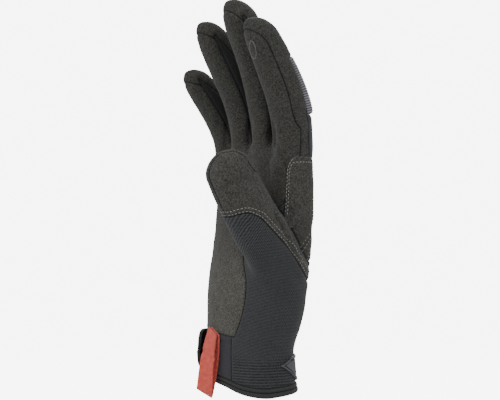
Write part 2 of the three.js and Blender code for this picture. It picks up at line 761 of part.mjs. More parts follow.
// The thumb down to its slanting seam
function thumbRegion(gap) {
  const { tilt, towards, start } = THUMB_SEAM_SLOPE;
  const level = THUMB_SEAM_LEVEL * WEB_HEIGHT - gap;
  const corner = new THREE.Vector3(Math.cos(towards * RADIAN), Math.sin(towards * RADIAN), 0)
    .multiplyScalar(start * HAND_BREADTH).setZ(level);
  const above = halfSpace(new THREE.Vector3(0, 0, level), 0, 0).add(
    halfSpace(corner, tilt, towards),
  );
  return thumb.slice(-OVERRUN, thumb.length + OVERRUN, KNIFE_MARGIN + gap).intersect(above);
}

function thumbSide(low, high, gap) {
  const rows = [-2 * OVERRUN, thumb.length + 2 * OVERRUN].map((along) => ({ along, low, high }));
  return thumb.wedge(rows, gap).intersect(thumbRegion(gap));
}

const thumbBack = cutPiece(
  thumbSide(THUMB_SEAMS.inner - FULL_TURN, THUMB_SEAMS.outer, 0),
  thumbSide(THUMB_SEAMS.inner - FULL_TURN, THUMB_SEAMS.outer, SEAM_GAP),
);
const thumbFront = cutPiece(
  thumbSide(THUMB_SEAMS.outer, THUMB_SEAMS.inner, 0),
  thumbSide(THUMB_SEAMS.outer, THUMB_SEAMS.inner, SEAM_GAP),
);

// Palm, heel and the fronts of the four fingers
function palmKnife(gap) {
  const fronts = fingers.map((finger) => finger.wedge([
    { along: 0, low: PALM_SEAM - 180, high: -PALM_SEAM },
    { along: finger.length - TIP_SEAM_DROP, low: PALM_SEAM - 180, high: -PALM_SEAM },
  ], gap));
  const rows = PALM_EDGE.map(({ at, angle }) => ({ at, low: BACK_EDGE - FULL_TURN, high: angle }));
  return join([...fronts, bodyWedge(rows, gap)]);
}
const palmPanel = cutPiece(palmKnife(0), palmKnife(SEAM_GAP));

// Tip and thumb side of the index finger, and the V below it
function fingerCap(finger, gap) {
  return finger.slice(RIBS.end * finger.length - gap, finger.length + OVERRUN, KNIFE_MARGIN + gap);
}

function indexSideKnife(gap) {
  const side = index.wedge([
    { along: INDEX_SIDE_START * index.length, low: -PALM_SEAM, high: BACK_SEAM },
    { along: RIBS.end * index.length, low: -PALM_SEAM, high: 90 - RIBS.halfArc },
  ], gap);
  return join([side, fingerCap(index, gap), bodyWedge(SIDE_EDGES, gap)]);
}
const indexSidePanel = cutPiece(indexSideKnife(0), indexSideKnife(SEAM_GAP));
const caps = [middle, ring, little].map(
  (finger) => cutPiece(fingerCap(finger, 0), fingerCap(finger, SEAM_GAP)),
);

// Smooth panel below the heel
function wristFrontKnife(gap) {
  const { bottom, top, low, high } = WRIST_FRONT;
  return bodyWedge([{ at: bottom, low, high }, { at: top, low, high }], gap);
}
const wristFront = cutPiece(wristFrontKnife(0), wristFrontKnife(SEAM_GAP));

// Back of the hand, and the knit that is left
function backKnife(gap) {
  const backs = fingers.map((finger) => finger.wedge(
    [0, RIBS.end * finger.length].map((along) => ({ along, ...BACK_ARC })),
    gap,
  ));
  const { bottom, top, low } = BACK_PANEL;
  return join([...backs, bodyWedge([bottom, top].map((at) => ({ at, low, high: BACK_EDGE })), gap)]);
}
const backPanel = cutPiece(backKnife(0), backKnife(SEAM_GAP));
const knitCuff = mainBody(wall);

// Binding round the cuff
function hemBand() {
  const face = HEM_PROFILE.map(({ up, out }) => [up * HEM_HEIGHT, out * HEM_PROUD]);
  const profile = [[0, -WALL], ...face, [HEM_HEIGHT, -WALL]];
  return bandSolid(angles(BODY_SIDES).map(
    (angle) => profile.map(([height, out]) => bodyPoint(height, angle, out)),
  ));
}

// Reinforcement over the base of the index finger, with rounded corners
function patch() {
  const rows = 8;
  const columns = 6;
  const grid = (grow) => {
    const points = [];
    for (let i = 0; i < rows; i += 1) {
      const v = i / (rows - 1);
      const height = (PATCH.bottom + (PATCH.top - PATCH.bottom) * v) * WEB_HEIGHT;
      const edge = Math.max(0, (v - 1 + PATCH.corner) / PATCH.corner);
      const low = PATCH.low + (PATCH.high - PATCH.low) * PATCH.corner * edge * edge;
      const row = [];
      for (let j = 0; j < columns; j += 1) {
        const angle = low + ((PATCH.high - low) * j) / (columns - 1);
        row.push(bodyPoint(height, angle, grow));
      }
      points.push(row);
    }
    return points;
  };
  const skin = 2 * SEAM_GAP;
  const slab = sheetSolid(grid(skin + PATCH_THICKNESS), grid(skin));
  return mainBody(slab.subtract(thumb.slice(-OVERRUN, thumb.length, SEAM_GAP))
    .subtract(index.slice(0, RIBS.end * index.length, SEAM_GAP)));
}

// Closure strap round the little-finger side of the cuff
function strap() {
  const columns = 14;
  const levels = 3;
  const grid = (grow) => {
    const rows = [];
    for (let i = 0; i <= levels; i += 1) {
      const v = i / levels;
      const row = [];
      for (let j = 0; j <= columns; j += 1) {
        const s = j / columns;
        const angle = STRAP.freeEnd + (STRAP.sewnEnd - STRAP.freeEnd) * s;
        const lift = STRAP_LIFT * Math.max(0, 1 - s / STRAP.loose) ** 1.5;
        const corner = STRAP.corner * Math.max(0, 1 - s / STRAP.round) ** 2;
        const up = STRAP.bottom + STRAP_WIDTH * (corner + (1 - 2 * corner) * v);
        const point = bodyPoint(up, angle, grow + lift + STRAP_FLARE * (1 - v) * (lift > 0));
        row.push(point.setZ(up));
      }
      rows.push(row);
    }
    return rows;
  };
  const base = HEM_PROUD + 2 * SEAM_GAP;
  return sheetSolid(grid(base + STRAP_THICKNESS), grid(base));
}

// Ribbon loop below the heel: down the front layer, round the fold and up the back layer
function pullLoop() {
  const half = LOOP_THICKNESS / 2;
  const normal = new THREE.Vector3(
    Math.cos(LOOP.angle * RADIAN), Math.sin(LOOP.angle * RADIAN), 0,
  );
  const seat = half + SEAM_GAP;
  const top = bodyPoint(LOOP.up * WEB_HEIGHT, LOOP.angle, seat);
  const bottom = top.clone().addScaledVector(normal, LOOP.swing);
  bottom.z -= LOOP_LENGTH;
  const down = bottom.clone().sub(top).normalize();
  // side is 1 on the outer layer and -1 on the one next to the cuff; turn runs round the fold
  const section = (s, side, turn) => {
    const across = new THREE.Vector3(-normal.y, normal.x, 0)
      .applyAxisAngle(new THREE.Vector3(0, 0, 1), LOOP.twist * s * RADIAN);
    across.z -= Math.tan(LOOP.tilt * (LOOP.topTilt + (1 - LOOP.topTilt) * s) * RADIAN);
    across.addScaledVector(down, -across.dot(down)).normalize();
    const away = down.clone().cross(across).normalize();
    const spread = half + SEAM_GAP + (LOOP_SPREAD / 2) * Math.sin(LOOP.fullest * Math.PI * s);
    const out = away.clone().multiplyScalar(side * Math.cos(turn))
      .addScaledVector(down, Math.sin(turn));
    const middle = top.clone().lerp(bottom, s).addScaledVector(normal, half + SEAM_GAP)
      .addScaledVector(out, spread);
    return [-half, half].map((depth) => [-1, 0, 1].map(
      (u) => middle.clone().addScaledVector(across, (u * LOOP_WIDTH) / 2)
        .addScaledVector(down, (LOOP.skew * u * LOOP_WIDTH) / 2).addScaledVector(out, depth),
    ));
  };
  const steps = 7;
  const sections = [];
  for (let i = 0; i <= steps; i += 1) {
    sections.push(section(i / steps, 1, 0));
  }
  for (let i = 1; i < 4; i += 1) {
    sections.push(section(1, 1, (Math.PI * i) / 4));
  }
  for (let i = steps; i >= 0; i -= 1) {
    sections.push(section(i / steps, -1, 0));
  }
  return sheetSolid(sections.map(([, outer]) => outer), sections.map(([inner]) => inner));
}

// Blank shield with a raised rim on the back of the cuff
function badge() {
  const level = BADGE.up * WEB_HEIGHT;
  const radius = bodyPoint(level, BADGE.angle, 0).distanceTo(bodyCentre(level));
  const rows = 5;
  const columns = 11;
  const grid = (inset, grow) => {
    const points = [];
    for (let i = 0; i < rows; i += 1) {
      const v = (2 * i) / (rows - 1) - 1;
      const half = lineAt(SHIELD_ROWS, 'up', 'width', v) * BADGE_HALF_WIDTH - inset;
      const row = [];
      for (let j = 0; j < columns; j += 1) {
        const u = half * ((2 * j) / (columns - 1) - 1);
        const angle = BADGE.angle + (u / radius) / RADIAN;
        row.push(bodyPoint(level + v * (BADGE_HEIGHT / 2 - inset), angle, grow));
      }
      points.push(row);
    }
    return points;
  };
  const base = HEM_PROUD + SEAM_GAP;
  const face = base + BADGE_THICKNESS;
  const body = sheetSolid(grid(0, face + BADGE_RIM_RISE), grid(0, base));
  return body.subtract(sheetSolid(grid(BADGE_RIM, face + 2 * BADGE_RIM_RISE), grid(BADGE_RIM, face)));
}

function geometryOf(solid) {
  const { vertProperties, triVerts } = solid.getMesh();
  const geometry = new THREE.BufferGeometry();
  geometry.setAttribute('position', new THREE.BufferAttribute(vertProperties, 3));
  geometry.setIndex(new THREE.BufferAttribute(triVerts, 1));
  return geometry;
}

// A named mesh from a solid, with the slivers closed that are thinner than a few microns
function meshOf(name, solid, finish) {
  const clean = mainBody(solidFromGeometry(geometryOf(solid), SLIVER));
  const geometry = geometryOf(clean);
  geometry.computeVertexNormals();
  const mesh = new THREE.Mesh(geometry, new THREE.MeshStandardMaterial(finish));
  mesh.name = name;
  return mesh;
}

const glove = new THREE.Group();
glove.add(
  meshOf('palm_panel', palmPanel, FINISHES.suede),
  meshOf('index_side_panel', indexSidePanel, FINISHES.suede),
  meshOf('middle_finger_cap', caps[0], FINISHES.suede),
  meshOf('ring_finger_cap', caps[1], FINISHES.suede),
  meshOf('little_finger_cap', caps[2], FINISHES.suede),
  meshOf('fourchette_index_middle', strips[0], FINISHES.fourchette),
  meshOf('fourchette_middle_ring', strips[1], FINISHES.fourchette),
  meshOf('fourchette_ring_little', strips[2], FINISHES.fourchette),
  meshOf('back_panel', backPanel, FINISHES.backCloth),
  meshOf('thumb_back', thumbBack, FINISHES.thumbSuede),
  meshOf('thumb_front', thumbFront, FINISHES.thumbSuede),
  meshOf('knit_cuff', knitCuff, FINISHES.knit),
  meshOf('wrist_front', wristFront, FINISHES.backCloth),
  meshOf('saddle_patch', patch(), FINISHES.thumbSuede),
  meshOf('cuff_hem', hemBand(), FINISHES.hem),
  meshOf('closure_strap', strap(), FINISHES.strap),
  meshOf('pull_loop', pullLoop(), FINISHES.webbing),
  meshOf('wrist_badge', badge(), FINISHES.rubber),
);
fingers.forEach((finger, i) => {
  glove.add(meshOf(`${finger.name}_knuckle_ribs`, ribPanels[i], FINISHES.ribs));
});

export default glove;
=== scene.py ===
"""A right-hand work glove standing on its cuff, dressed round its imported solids.

The skin is one smooth form, worked out from the same named tubes as the solids, cut into its
sewn panels along seam fields. Sizes are in millimetres until a mesh is made, in metres.
+Z runs from the wrist to the fingertips, the palm faces -Y and the thumb is on the +X side.
"""

from __future__ import annotations

import logging
import math
from dataclasses import dataclass, field
from enum import Enum
from functools import cached_property
from typing import Sequence

import bpy
import numpy as np
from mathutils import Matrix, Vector


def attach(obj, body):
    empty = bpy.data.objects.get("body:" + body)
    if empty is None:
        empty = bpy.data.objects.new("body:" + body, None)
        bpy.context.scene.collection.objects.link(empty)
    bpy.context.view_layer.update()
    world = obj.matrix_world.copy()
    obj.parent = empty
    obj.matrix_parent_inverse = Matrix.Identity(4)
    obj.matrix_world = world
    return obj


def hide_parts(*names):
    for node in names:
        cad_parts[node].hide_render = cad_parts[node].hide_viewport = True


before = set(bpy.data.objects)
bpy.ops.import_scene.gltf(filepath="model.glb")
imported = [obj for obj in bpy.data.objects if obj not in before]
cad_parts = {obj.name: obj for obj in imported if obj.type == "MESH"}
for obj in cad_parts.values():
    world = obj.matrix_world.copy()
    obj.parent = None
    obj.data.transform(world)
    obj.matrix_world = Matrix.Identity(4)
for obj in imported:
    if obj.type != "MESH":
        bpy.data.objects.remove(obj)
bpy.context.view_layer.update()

Array = np.ndarray
Rows = tuple[tuple[float, ...], ...]
Shown = tuple[float, float, float]
Spot = tuple[float, float, float]
MM = 0.001
LOG = logging.getLogger("glove")


# ---- Small mathematics -----------------------------------------------------------------


def smooth_column(rows: Rows, column: int, place: Array) -> Array:
    """Read one column of a table at any place.

    Cubic through the rows, v(s) = h00 v0 + h10 k m0 + h01 v1 + h11 k m1, with each slope m
    taken through the two neighbouring rows.

    Args:
        rows: the table, sorted by its first column.
        column: which column to read.
        place: the values of the first column to read it at.

    Returns:
        The values of the column there, the first and last row's past the ends.
    """
    table = np.asarray(rows, float)
    key, value = table[:, 0], table[:, column]
    before = np.r_[0, np.arange(len(key) - 1)]
    after = np.r_[np.arange(1, len(key)), len(key) - 1]
    slope = (value[after] - value[before]) / (key[after] - key[before])
    held = np.clip(np.asarray(place, float), key[0], key[-1])
    i = np.clip(np.searchsorted(key, held) - 1, 0, len(key) - 2)
    span = key[i + 1] - key[i]
    s = (held - key[i]) / span
    return (
        (2 * s**3 - 3 * s**2 + 1) * value[i]
        + (s**3 - 2 * s**2 + s) * span * slope[i]
        + (3 * s**2 - 2 * s**3) * value[i + 1]
        + (s**3 - s**2) * span * slope[i + 1]
    )


def wrapped(angle: Array) -> Array:
    """Bring angles in degrees between -180 and 180."""
    return (angle + 180) % 360 - 180


def unit(vectors: Array) -> Array:
    """Scale vectors to length one."""
    return vectors / np.maximum(np.linalg.norm(vectors, axis=-1, keepdims=True), 1e-12)


def section(angle: Array, squareness: float) -> tuple[Array, Array]:
    """A point of a section between an ellipse and a box: sign(c) |c|^(2/n), the same for s.

    Args:
        angle: degrees from the first axis.
        squareness: 2 for an ellipse, more for a box.

    Returns:
        The point's shares of the half width and half depth.
    """
    c, s = np.cos(np.radians(angle)), np.sin(np.radians(angle))
    power = 2 / squareness
    return np.sign(c) * np.abs(c) ** power, np.sign(s) * np.abs(s) ** power


def section_angle(x: Array, y: Array, squareness: float) -> Array:
    """The angle whose section point lies in the direction x, y."""
    power = squareness / 2
    return np.degrees(np.arctan2(np.sign(y) * np.abs(y) ** power, np.sign(x) * np.abs(x) ** power))


def bell(distance: Array, width: float) -> Array:
    """exp(-(d/w)^2), one at the middle and fading over a width."""
    return np.exp(-((distance / width) ** 2))


def step_up(value: Array, low: float, high: float) -> Array:
    """Smooth step from 0 at low to 1 at high: 3t^2 - 2t^3."""
    t = np.clip((value - low) / (high - low), 0, 1)
    return t * t * (3 - 2 * t)


def rounded(a: Array, b: Array, radius: float) -> Array:
    """The smaller of two depths, with a round corner where both are within a radius."""
    corner = radius - np.hypot(np.maximum(radius - a, 0), np.maximum(radius - b, 0))
    return np.where((a < radius) & (b < radius), corner, np.minimum(a, b))


def melded(a: Array, b: Array, width: float) -> Array:
    """The larger of two depths, blended by h^2 w / 4 with h = 1 - |a - b| / w."""
    share = np.maximum(1 - np.abs(a - b) / width, 0)
    return np.maximum(a, b) + share * share * width / 4


def groove(distance: Array) -> Array:
    """The fall of the cloth into a seam, 0.7 mm deep: -0.7 exp(-(d/0.6)^2)."""
    return -0.7 * bell(distance, 0.6)


def soft_noise(points: Array, size: float, seed: int) -> Array:
    """Sum of eight plane waves in seeded directions, about -1 to 1, with waves of a given size.

    Args:
        points: points in mm, one row each.
        size: the waves' usual length in mm.
        seed: which set of waves.

    Returns:
        One value for each point.
    """
    draw = np.random.default_rng(seed)
    ways = unit(draw.normal(size=(8, 3)))
    lengths = size * draw.uniform(0.7, 1.6, 8)
    phase = draw.uniform(0, 2 * math.pi, 8)
    return np.sin(points @ (ways / lengths[:, None] * 2 * math.pi).T + phase).sum(1) / 3.2


# ---- The forms that carry the skin ------------------------------------------------------

VIEW_TURN = math.radians(57.0)  # from the front of the palm round to the thumb side
VIEW_MIDDLE = np.array([0.0, -1.3, 0.0])
RIGHT = np.array([math.cos(VIEW_TURN), math.sin(VIEW_TURN), 0.0])
TOWARDS = np.array([math.sin(VIEW_TURN), -math.cos(VIEW_TURN), 0.0])
EYE = np.round(TOWARDS, 3)  # to three places, as the seams were set out
HAND_BREADTH = 90.8
WRIST_BREADTH = 66.6
HEEL_DEPTH = 49.2
WEB_HEIGHT = 157.0
ROOT_HEIGHT = 140.0
HEM_HEIGHT = 6.0
HEM_RISE = 12.8
HEM_BLEND = 50.0
WALL = 1.6
RIB_START, RIB_END = 0.33, 0.675  # shares of a finger's length
RIB_ARC = 57.0  # degrees to each side of a finger's back
NO_SEAM = 9.0  # mm, too far from any seam to be darkened by it


@dataclass(frozen=True)
class Place:
    """Where points lie on a form: mm along it, degrees round it, mm and share from its middle."""

    along: Array
    angle: Array
    radius: Array
    share: Array

    def between(self, low: Array | float, high: Array | float) -> Array:
        """Signed mm inside the range of angles from low to high, positive inside.

        Args:
            low: the first angle in degrees, for all points or each.
            high: the last angle.

        Returns:
            The distance for each point.
        """
        middle = (np.asarray(low) + np.asarray(high)) / 2
        half = (np.asarray(high) - np.asarray(low)) / 2
        return (half - np.abs(wrapped(self.angle - middle))) * np.radians(self.radius)


@dataclass(frozen=True)
class Tube:
    """A finger: a centre line that bends, with a rounded section at each place.

    The rows hold the place as a share of the length, the bend towards the palm and the lean
    towards the thumb in degrees, and the width and depth as shares.
    """

    name: str
    length: float
    width: float
    depth: float
    tip: float
    tip_drop: float
    root: Spot
    rows: Rows
    side: Spot = (1.0, 0.0, 0.0)
    squareness: float = 2.15

    def direction(self, at: Array) -> Array:
        """Unit direction (tan lean, -tan bend, 1) of the centre line.

        Args:
            at: places as shares of the length.

        Returns:
            One direction for each place.
        """
        bend = np.radians(smooth_column(self.rows, 1, at))
        lean = np.radians(smooth_column(self.rows, 2, at))
        return unit(np.stack([np.tan(lean), -np.tan(bend), np.ones_like(bend)], -1))

    @cached_property
    def line(self) -> Array:
        """The centre line in 100 steps, the running sum of the direction."""
        steps = self.direction((np.arange(100) + 0.5) / 100) * self.length / 100
        return np.asarray(self.root) + np.vstack([np.zeros(3), np.cumsum(steps, 0)])

    def frame(self, along: Array) -> tuple[Array, Array, Array, Array, Array, Array]:
        """Centre, across, dorsal, ahead, half width and half depth at mm along the line.

        Args:
            along: mm along the centre line.

        Returns:
            The centre, the three unit directions, and the half sizes of the section there.
        """
        at = np.asarray(along, float) / self.length
        inside = np.clip(at, 0, 1)
        stops = np.linspace(0, 1, len(self.line))
        centre = np.stack([np.interp(inside, stops, self.line[:, k]) for k in range(3)], -1)
        ahead = self.direction(inside)
        centre = centre + ahead * ((at - inside) * self.length)[..., None]
        side = np.asarray(self.side)
        across = unit(side - ahead * (ahead @ side)[..., None])
        dorsal = np.cross(ahead, across)
        wide = self.width / 2 * smooth_column(self.rows, 3, inside)
        deep = self.depth / 2 * smooth_column(self.rows, 4, inside)
        return centre, across, dorsal, ahead, wide, deep

    def point(self, along: Array, angle: Array, grow: Array | float = 0.0) -> Array:
        """A point grow mm outside the skin.

        Past the start of the tip the section shrinks by sqrt(1 - q^2) and its middle drops
        towards the pad.

        Args:
            along: mm along the centre line.
            angle: degrees round it from the side.
            grow: mm outside the skin.

        Returns:
            The points.
        """
        centre, across, dorsal, _, wide, deep = self.frame(along)
        q = np.clip((along - (self.length - self.tip)) / self.tip, 0, 1)
        shrink = np.sqrt(np.maximum(1 - q * q, 0))
        x, y = section(angle, self.squareness)
        drop = -self.tip_drop * deep * (1 - shrink)
        out = (drop + (deep * shrink + grow) * y)[..., None] * dorsal
        return centre + ((wide * shrink + grow) * x)[..., None] * across + out

    def shell(self) -> tuple[Array, Array]:
        """Closed mesh of the tube: rings every 2 mm, closer at the tip, with capped ends.

        Returns:
            Its vertices and triangles.
        """
        start = self.length - self.tip
        shaft = np.linspace(0, start, int(start / 2))
        tip = start + self.tip * np.sin(np.radians(np.linspace(6, 89.9, 22)))
        along, angle = np.meshgrid(np.r_[shaft, tip], np.arange(0, 360, 6.0), indexing="ij")
        return capped(self.point(along, angle))

    def locate(self, points: Array) -> Place:
        """Find the place of points: the nearest stop of the line, then two steps along it.

        Args:
            points: points in mm, one row each.

        Returns:
            Their places on the tube.
        """
        picks = self.line[::5]
        nearest = ((points[:, None, :] - picks[None]) ** 2).sum(2).argmin(1)
        along = nearest * 5 * self.length / 100
        for _ in range(3):
            centre, across, dorsal, ahead, wide, deep = self.frame(along)
            along = along + ((points - centre) * ahead).sum(1)
        centre, across, dorsal, ahead, wide, deep = self.frame(along)
        x, y = ((points - centre) * across).sum(1), ((points - centre) * dorsal).sum(1)
        share = (np.abs(x / wide) ** self.squareness + np.abs(y / deep) ** self.squareness) ** (
            1 / self.squareness
        )
        angle = section_angle(x / wide, y / deep, self.squareness)
        return Place(along, angle, np.hypot(x, y), share)


@dataclass(frozen=True)
class Palm:
    """The palm and cuff: superellipse sections stacked up the hand, with a slanting hem.

    The rows hold the height as a share of the web's, the spread from wrist to hand breadth,
    the depth, and the shifts towards the thumb and the back of the hand.
    """

    squareness: float = 2.5
    rows: Rows = (
        (0, 0, 0.93, 0, 0),
        (0.08, -0.02, 0.92, 0, -0.015),
        (0.18, -0.02, 0.91, 0, -0.025),
        (0.32, 0.29, 1, 0.009, 0.033),
        (0.45, 0.54, 0.985, 0.017, 0.07),
        (0.585, 0.76, 0.875, 0.013, 0.13),
        (0.715, 0.93, 0.748, 0, 0.173),
        (0.86, 1, 0.684, -0.005, 0.189),
        (0.945, 0.95, 0.618, -0.005, 0.189),
        (1, 0.69, 0.427, -0.005, 0.189),
    )
    hem_rows: Rows = (
        (-180, 0.97), (-150, 1), (-125, 0.88), (-105, 0.63), (-88, 0.46), (-75, 0.32),
        (-62, 0.18), (-40, 0.05), (-16, 0), (10, 0.09), (57, 0.22), (110, 0.52), (150, 0.82),
        (180, 0.97),
    )

    def sizes(self, height: Array) -> tuple[Array, Array, Array, Array]:
        """Middle x, middle y, half width and half depth at a height in mm.

        Args:
            height: mm above the hem's level.

        Returns:
            Four arrays in mm.
        """
        at = np.asarray(height, float) / WEB_HEIGHT
        spread = smooth_column(self.rows, 1, at)
        wide = (WRIST_BREADTH + (HAND_BREADTH - WRIST_BREADTH) * spread) / 2
        deep = HEEL_DEPTH / 2 * smooth_column(self.rows, 2, at)
        aside = smooth_column(self.rows, 3, at) * HAND_BREADTH
        return aside, smooth_column(self.rows, 4, at) * HEEL_DEPTH, wide, deep

    def rise(self, height: Array, angle: Array) -> Array:
        """How much a level is raised at an angle, fading to nothing up the cuff."""
        share = np.clip(1 - np.asarray(height, float) / HEM_BLEND, 0, 1)
        return HEM_RISE * smooth_column(self.hem_rows, 1, wrapped(np.asarray(angle))) * share

    def point(self, height: Array, angle: Array, grow: Array | float = 0.0) -> Array:
        """A point grow mm outside the skin, at a height and an angle from the thumb side.

        Args:
            height: mm above the hem's level.
            angle: degrees from the thumb side.
            grow: mm outside the skin.

        Returns:
            The points.
        """
        height, angle = np.broadcast_arrays(np.asarray(height, float), np.asarray(angle, float))
        aside, back, wide, deep = self.sizes(height)
        x, y = section(angle, self.squareness)
        level = height + self.rise(height, angle)
        return np.stack([aside + (wide + grow) * x, back + (deep + grow) * y, level], -1)

    def shell(self) -> tuple[Array, Array]:
        """Closed mesh from below the hem to the webs.

        Returns:
            Its vertices and triangles.
        """
        heights = np.r_[np.linspace(-6, 150, 78), 152, 153.5, 155, 156, 157]
        height, angle = np.meshgrid(heights, np.arange(0, 360, 3.0), indexing="ij")
        return capped(self.point(height, angle))

    def locate(self, points: Array) -> Place:
        """Find heights and angles, by undoing the hem's rise in three rounds.

        Args:
            points: points in mm, one row each.

        Returns:
            Their places on the palm.
        """
        height = points[:, 2].copy()
        for _ in range(3):
            aside, back, wide, deep = self.sizes(height)
            x, y = points[:, 0] - aside, points[:, 1] - back
            angle = section_angle(x / wide, y / deep, self.squareness)
            height = points[:, 2] - self.rise(height, angle)
        n = self.squareness
        share = (np.abs(x / wide) ** n + np.abs(y / deep) ** n) ** (1 / n)
        return Place(height, angle, np.hypot(x, y), share)


PALM = Palm()
FINGERS = (
    Tube(
        "index", 103.2, 21, 26.6, 17, 0.45,
        (0.36 * HAND_BREADTH, 0.185 * HEEL_DEPTH, ROOT_HEIGHT),
        (
            (0, 0, 1.5, 1, 1), (0.2, 2, 1.5, 1, 1), (0.33, 12.5, 1.5, 1, 0.99),
            (0.46, 19.3, 1.5, 0.99, 0.965), (0.57, 25.3, 1.5, 0.98, 0.94),
            (0.68, 29.3, 1.5, 0.96, 0.9), (0.82, 31, 1.5, 0.93, 0.81), (1, 30, 1.5, 0.88, 0.72),
        ),
    ),
    Tube(
        "middle", 115, 21.2, 26.4, 17, 0.45,
        (0.117 * HAND_BREADTH, 0.175 * HEEL_DEPTH, ROOT_HEIGHT),
        (
            (0, 0, 0.6, 1, 1), (0.18, 2, 0.6, 1, 0.99), (0.33, 12, 0.6, 1, 0.98),
            (0.5, 18.2, 0.6, 0.98, 0.95), (0.68, 24.3, 0.6, 0.96, 0.89),
            (0.84, 25, 0.6, 0.93, 0.83), (1, 24, 0.6, 0.88, 0.76),
        ),
    ),
    Tube(
        "ring", 105.5, 20.6, 25, 17, 0.45,
        (-0.129 * HAND_BREADTH, 0.136 * HEEL_DEPTH, ROOT_HEIGHT),
        (
            (0, 0, -2.2, 1, 1), (0.17, 1, -2.2, 1, 0.99), (0.36, 15, -2.2, 0.99, 0.97),
            (0.56, 28, -2.2, 0.97, 0.92), (0.76, 29, -2.2, 0.94, 0.86), (1, 26, -2.2, 0.88, 0.76),
        ),
    ),
    Tube(
        "little", 77.2, 19, 22.4, 14, 0.45,
        (-0.366 * HAND_BREADTH, 0.144 * HEEL_DEPTH, ROOT_HEIGHT),
        (
            (0, 0, -6.5, 1, 1), (0.16, 2, -6.5, 1, 0.99), (0.3, 12.5, -6.5, 0.99, 0.97),
            (0.49, 30, -6.5, 0.98, 0.93), (0.7, 35.5, -6.5, 0.95, 0.87), (1, 30, -6.5, 0.89, 0.79),
        ),
    ),
)
THUMB = Tube(
    "thumb", 95, 34, 28, 13, 0.1,
    (0.33 * HAND_BREADTH, 0.1 * HEEL_DEPTH, 0.459 * WEB_HEIGHT),
    (
        (0, 31, 16, 1, 1), (0.11, 32, 12, 1, 1), (0.33, 37, 5, 1.0, 0.98),
        (0.54, 33, 1, 0.96, 0.92), (0.75, 29, -2, 0.92, 0.87), (0.92, 26, -7, 0.84, 0.82),
        (1, 25, -8, 0.78, 0.8),
    ),
    side=(0.0, 0.83, 0.55), squareness=2.3,
)


def located(points: Array) -> dict[str, Place]:
    """Where points lie on the palm and on every tube, by name."""
    places = {tube.name: tube.locate(points) for tube in (*FINGERS, THUMB)}
    return {**places, "palm": PALM.locate(points)}


def rightward(points: Array) -> Array:
    """How far to the right points lie, seen from the thumb side quarter, in mm."""
    return points[:, 0] * RIGHT[0] + (points[:, 1] - VIEW_MIDDLE[1]) * RIGHT[1]


# ---- Meshes ----------------------------------------------------------------------------


def grid_faces(
    rows: int, columns: int, closed_rows: bool = False, closed_columns: bool = False
) -> Array:
    """Quads of a grid, with its last row or column joined to the first where it is closed.

    Args:
        rows: points up the grid.
        columns: points across it.
        closed_rows: whether the last row meets the first.
        closed_columns: whether the last column meets the first.

    Returns:
        Four point numbers for each quad.
    """
    i = np.arange(rows if closed_rows else rows - 1)
    j = np.arange(columns if closed_columns else columns - 1)
    i, j = (a.ravel() for a in np.meshgrid(i, j, indexing="ij"))
    di, dj = (i + 1) % rows, (j + 1) % columns
    return np.stack([i * columns + j, i * columns + dj, di * columns + dj, di * columns + j], 1)


def capped(rings: Array) -> tuple[Array, Array]:
    """Closed mesh from rings: quads as triangles between them and a fan to each end's middle.

    Args:
        rings: points in rows of rings, each ring closed.

    Returns:
        The vertices and the triangles, facing out where rings turn left going up.
    """
    count, sides = rings.shape[:2]
    points = rings.reshape(-1, 3)
    quads = grid_faces(count, sides, closed_columns=True)
    j = np.arange(sides)
    k = (j + 1) % sides
    low, high = len(points), len(points) + 1
    last = (count - 1) * sides
    faces = np.vstack([
        quads[:, [0, 1, 2]], quads[:, [0, 2, 3]],
        np.stack([np.full(sides, low), k, j], 1),
        np.stack([np.full(sides, high), last + j, last + k], 1),
    ])
    return np.vstack([points, rings[0].mean(0), rings[-1].mean(0)]), faces


def placed(name: str, data: bpy.types.ID) -> bpy.types.Object:
    """Put data into the scene as an object at the origin.

    Args:
        name: the object's name.
        data: its mesh, light or camera.

    Returns:
        The object.
    """
    made = bpy.data.objects.new(name, data)
    bpy.context.scene.collection.objects.link(made)
    return made


def make_mesh(name: str, points: Array, faces: Array) -> bpy.types.Object:
    """Make a smooth-shaded object at the origin from points in mm.

    Args:
        name: the object's and its mesh's name.
        points: points in mm, one row each.
        faces: point numbers, one row for each face.

    Returns:
        The object.
    """
    mesh = bpy.data.meshes.new(name)
    mesh.from_pydata((points * MM).tolist(), [], faces.tolist())
    mesh.update()
    mesh.polygons.foreach_set("use_smooth", np.ones(len(mesh.polygons), bool))
    return placed(name, mesh)


def set_attribute(piece: bpy.types.Object, name: str, values: Array) -> None:
    """Keep one number for each vertex under a name that a finish reads."""
    kept = piece.data.attributes.new(name, "FLOAT", "POINT")
    kept.data.foreach_set("value", np.asarray(values, np.float32))


def without_seams(piece: bpy.types.Object) -> None:
    """Tell a piece's finish that no seam is near."""
    set_attribute(piece, "seam", np.full(len(piece.data.vertices), NO_SEAM))


def set_uv(piece: bpy.types.Object, across: Array, up: Array) -> None:
    """Lay the piece's cloth flat: across and up in mm for each vertex.

    Args:
        piece: the object.
        across: mm across the cloth for each vertex.
        up: mm up the cloth.
    """
    layer = piece.data.uv_layers.new(name="cloth")
    corners = np.zeros(len(piece.data.loops), np.int32)
    piece.data.loops.foreach_get("vertex_index", corners)
    flat = np.stack([across, up], 1)[corners]
    layer.data.foreach_set("uv", flat.astype(np.float32).ravel())


def joined(parts: Sequence[tuple[Array, Array]]) -> tuple[Array, Array]:
    """Put several meshes in one.

    Args:
        parts: the vertices and faces of each mesh.

    Returns:
        The vertices and faces of all.
    """
    starts = np.cumsum([0] + [len(points) for points, _ in parts[:-1]])
    points = np.vstack([points for points, _ in parts])
    return points, np.vstack([faces + start for (_, faces), start in zip(parts, starts)])


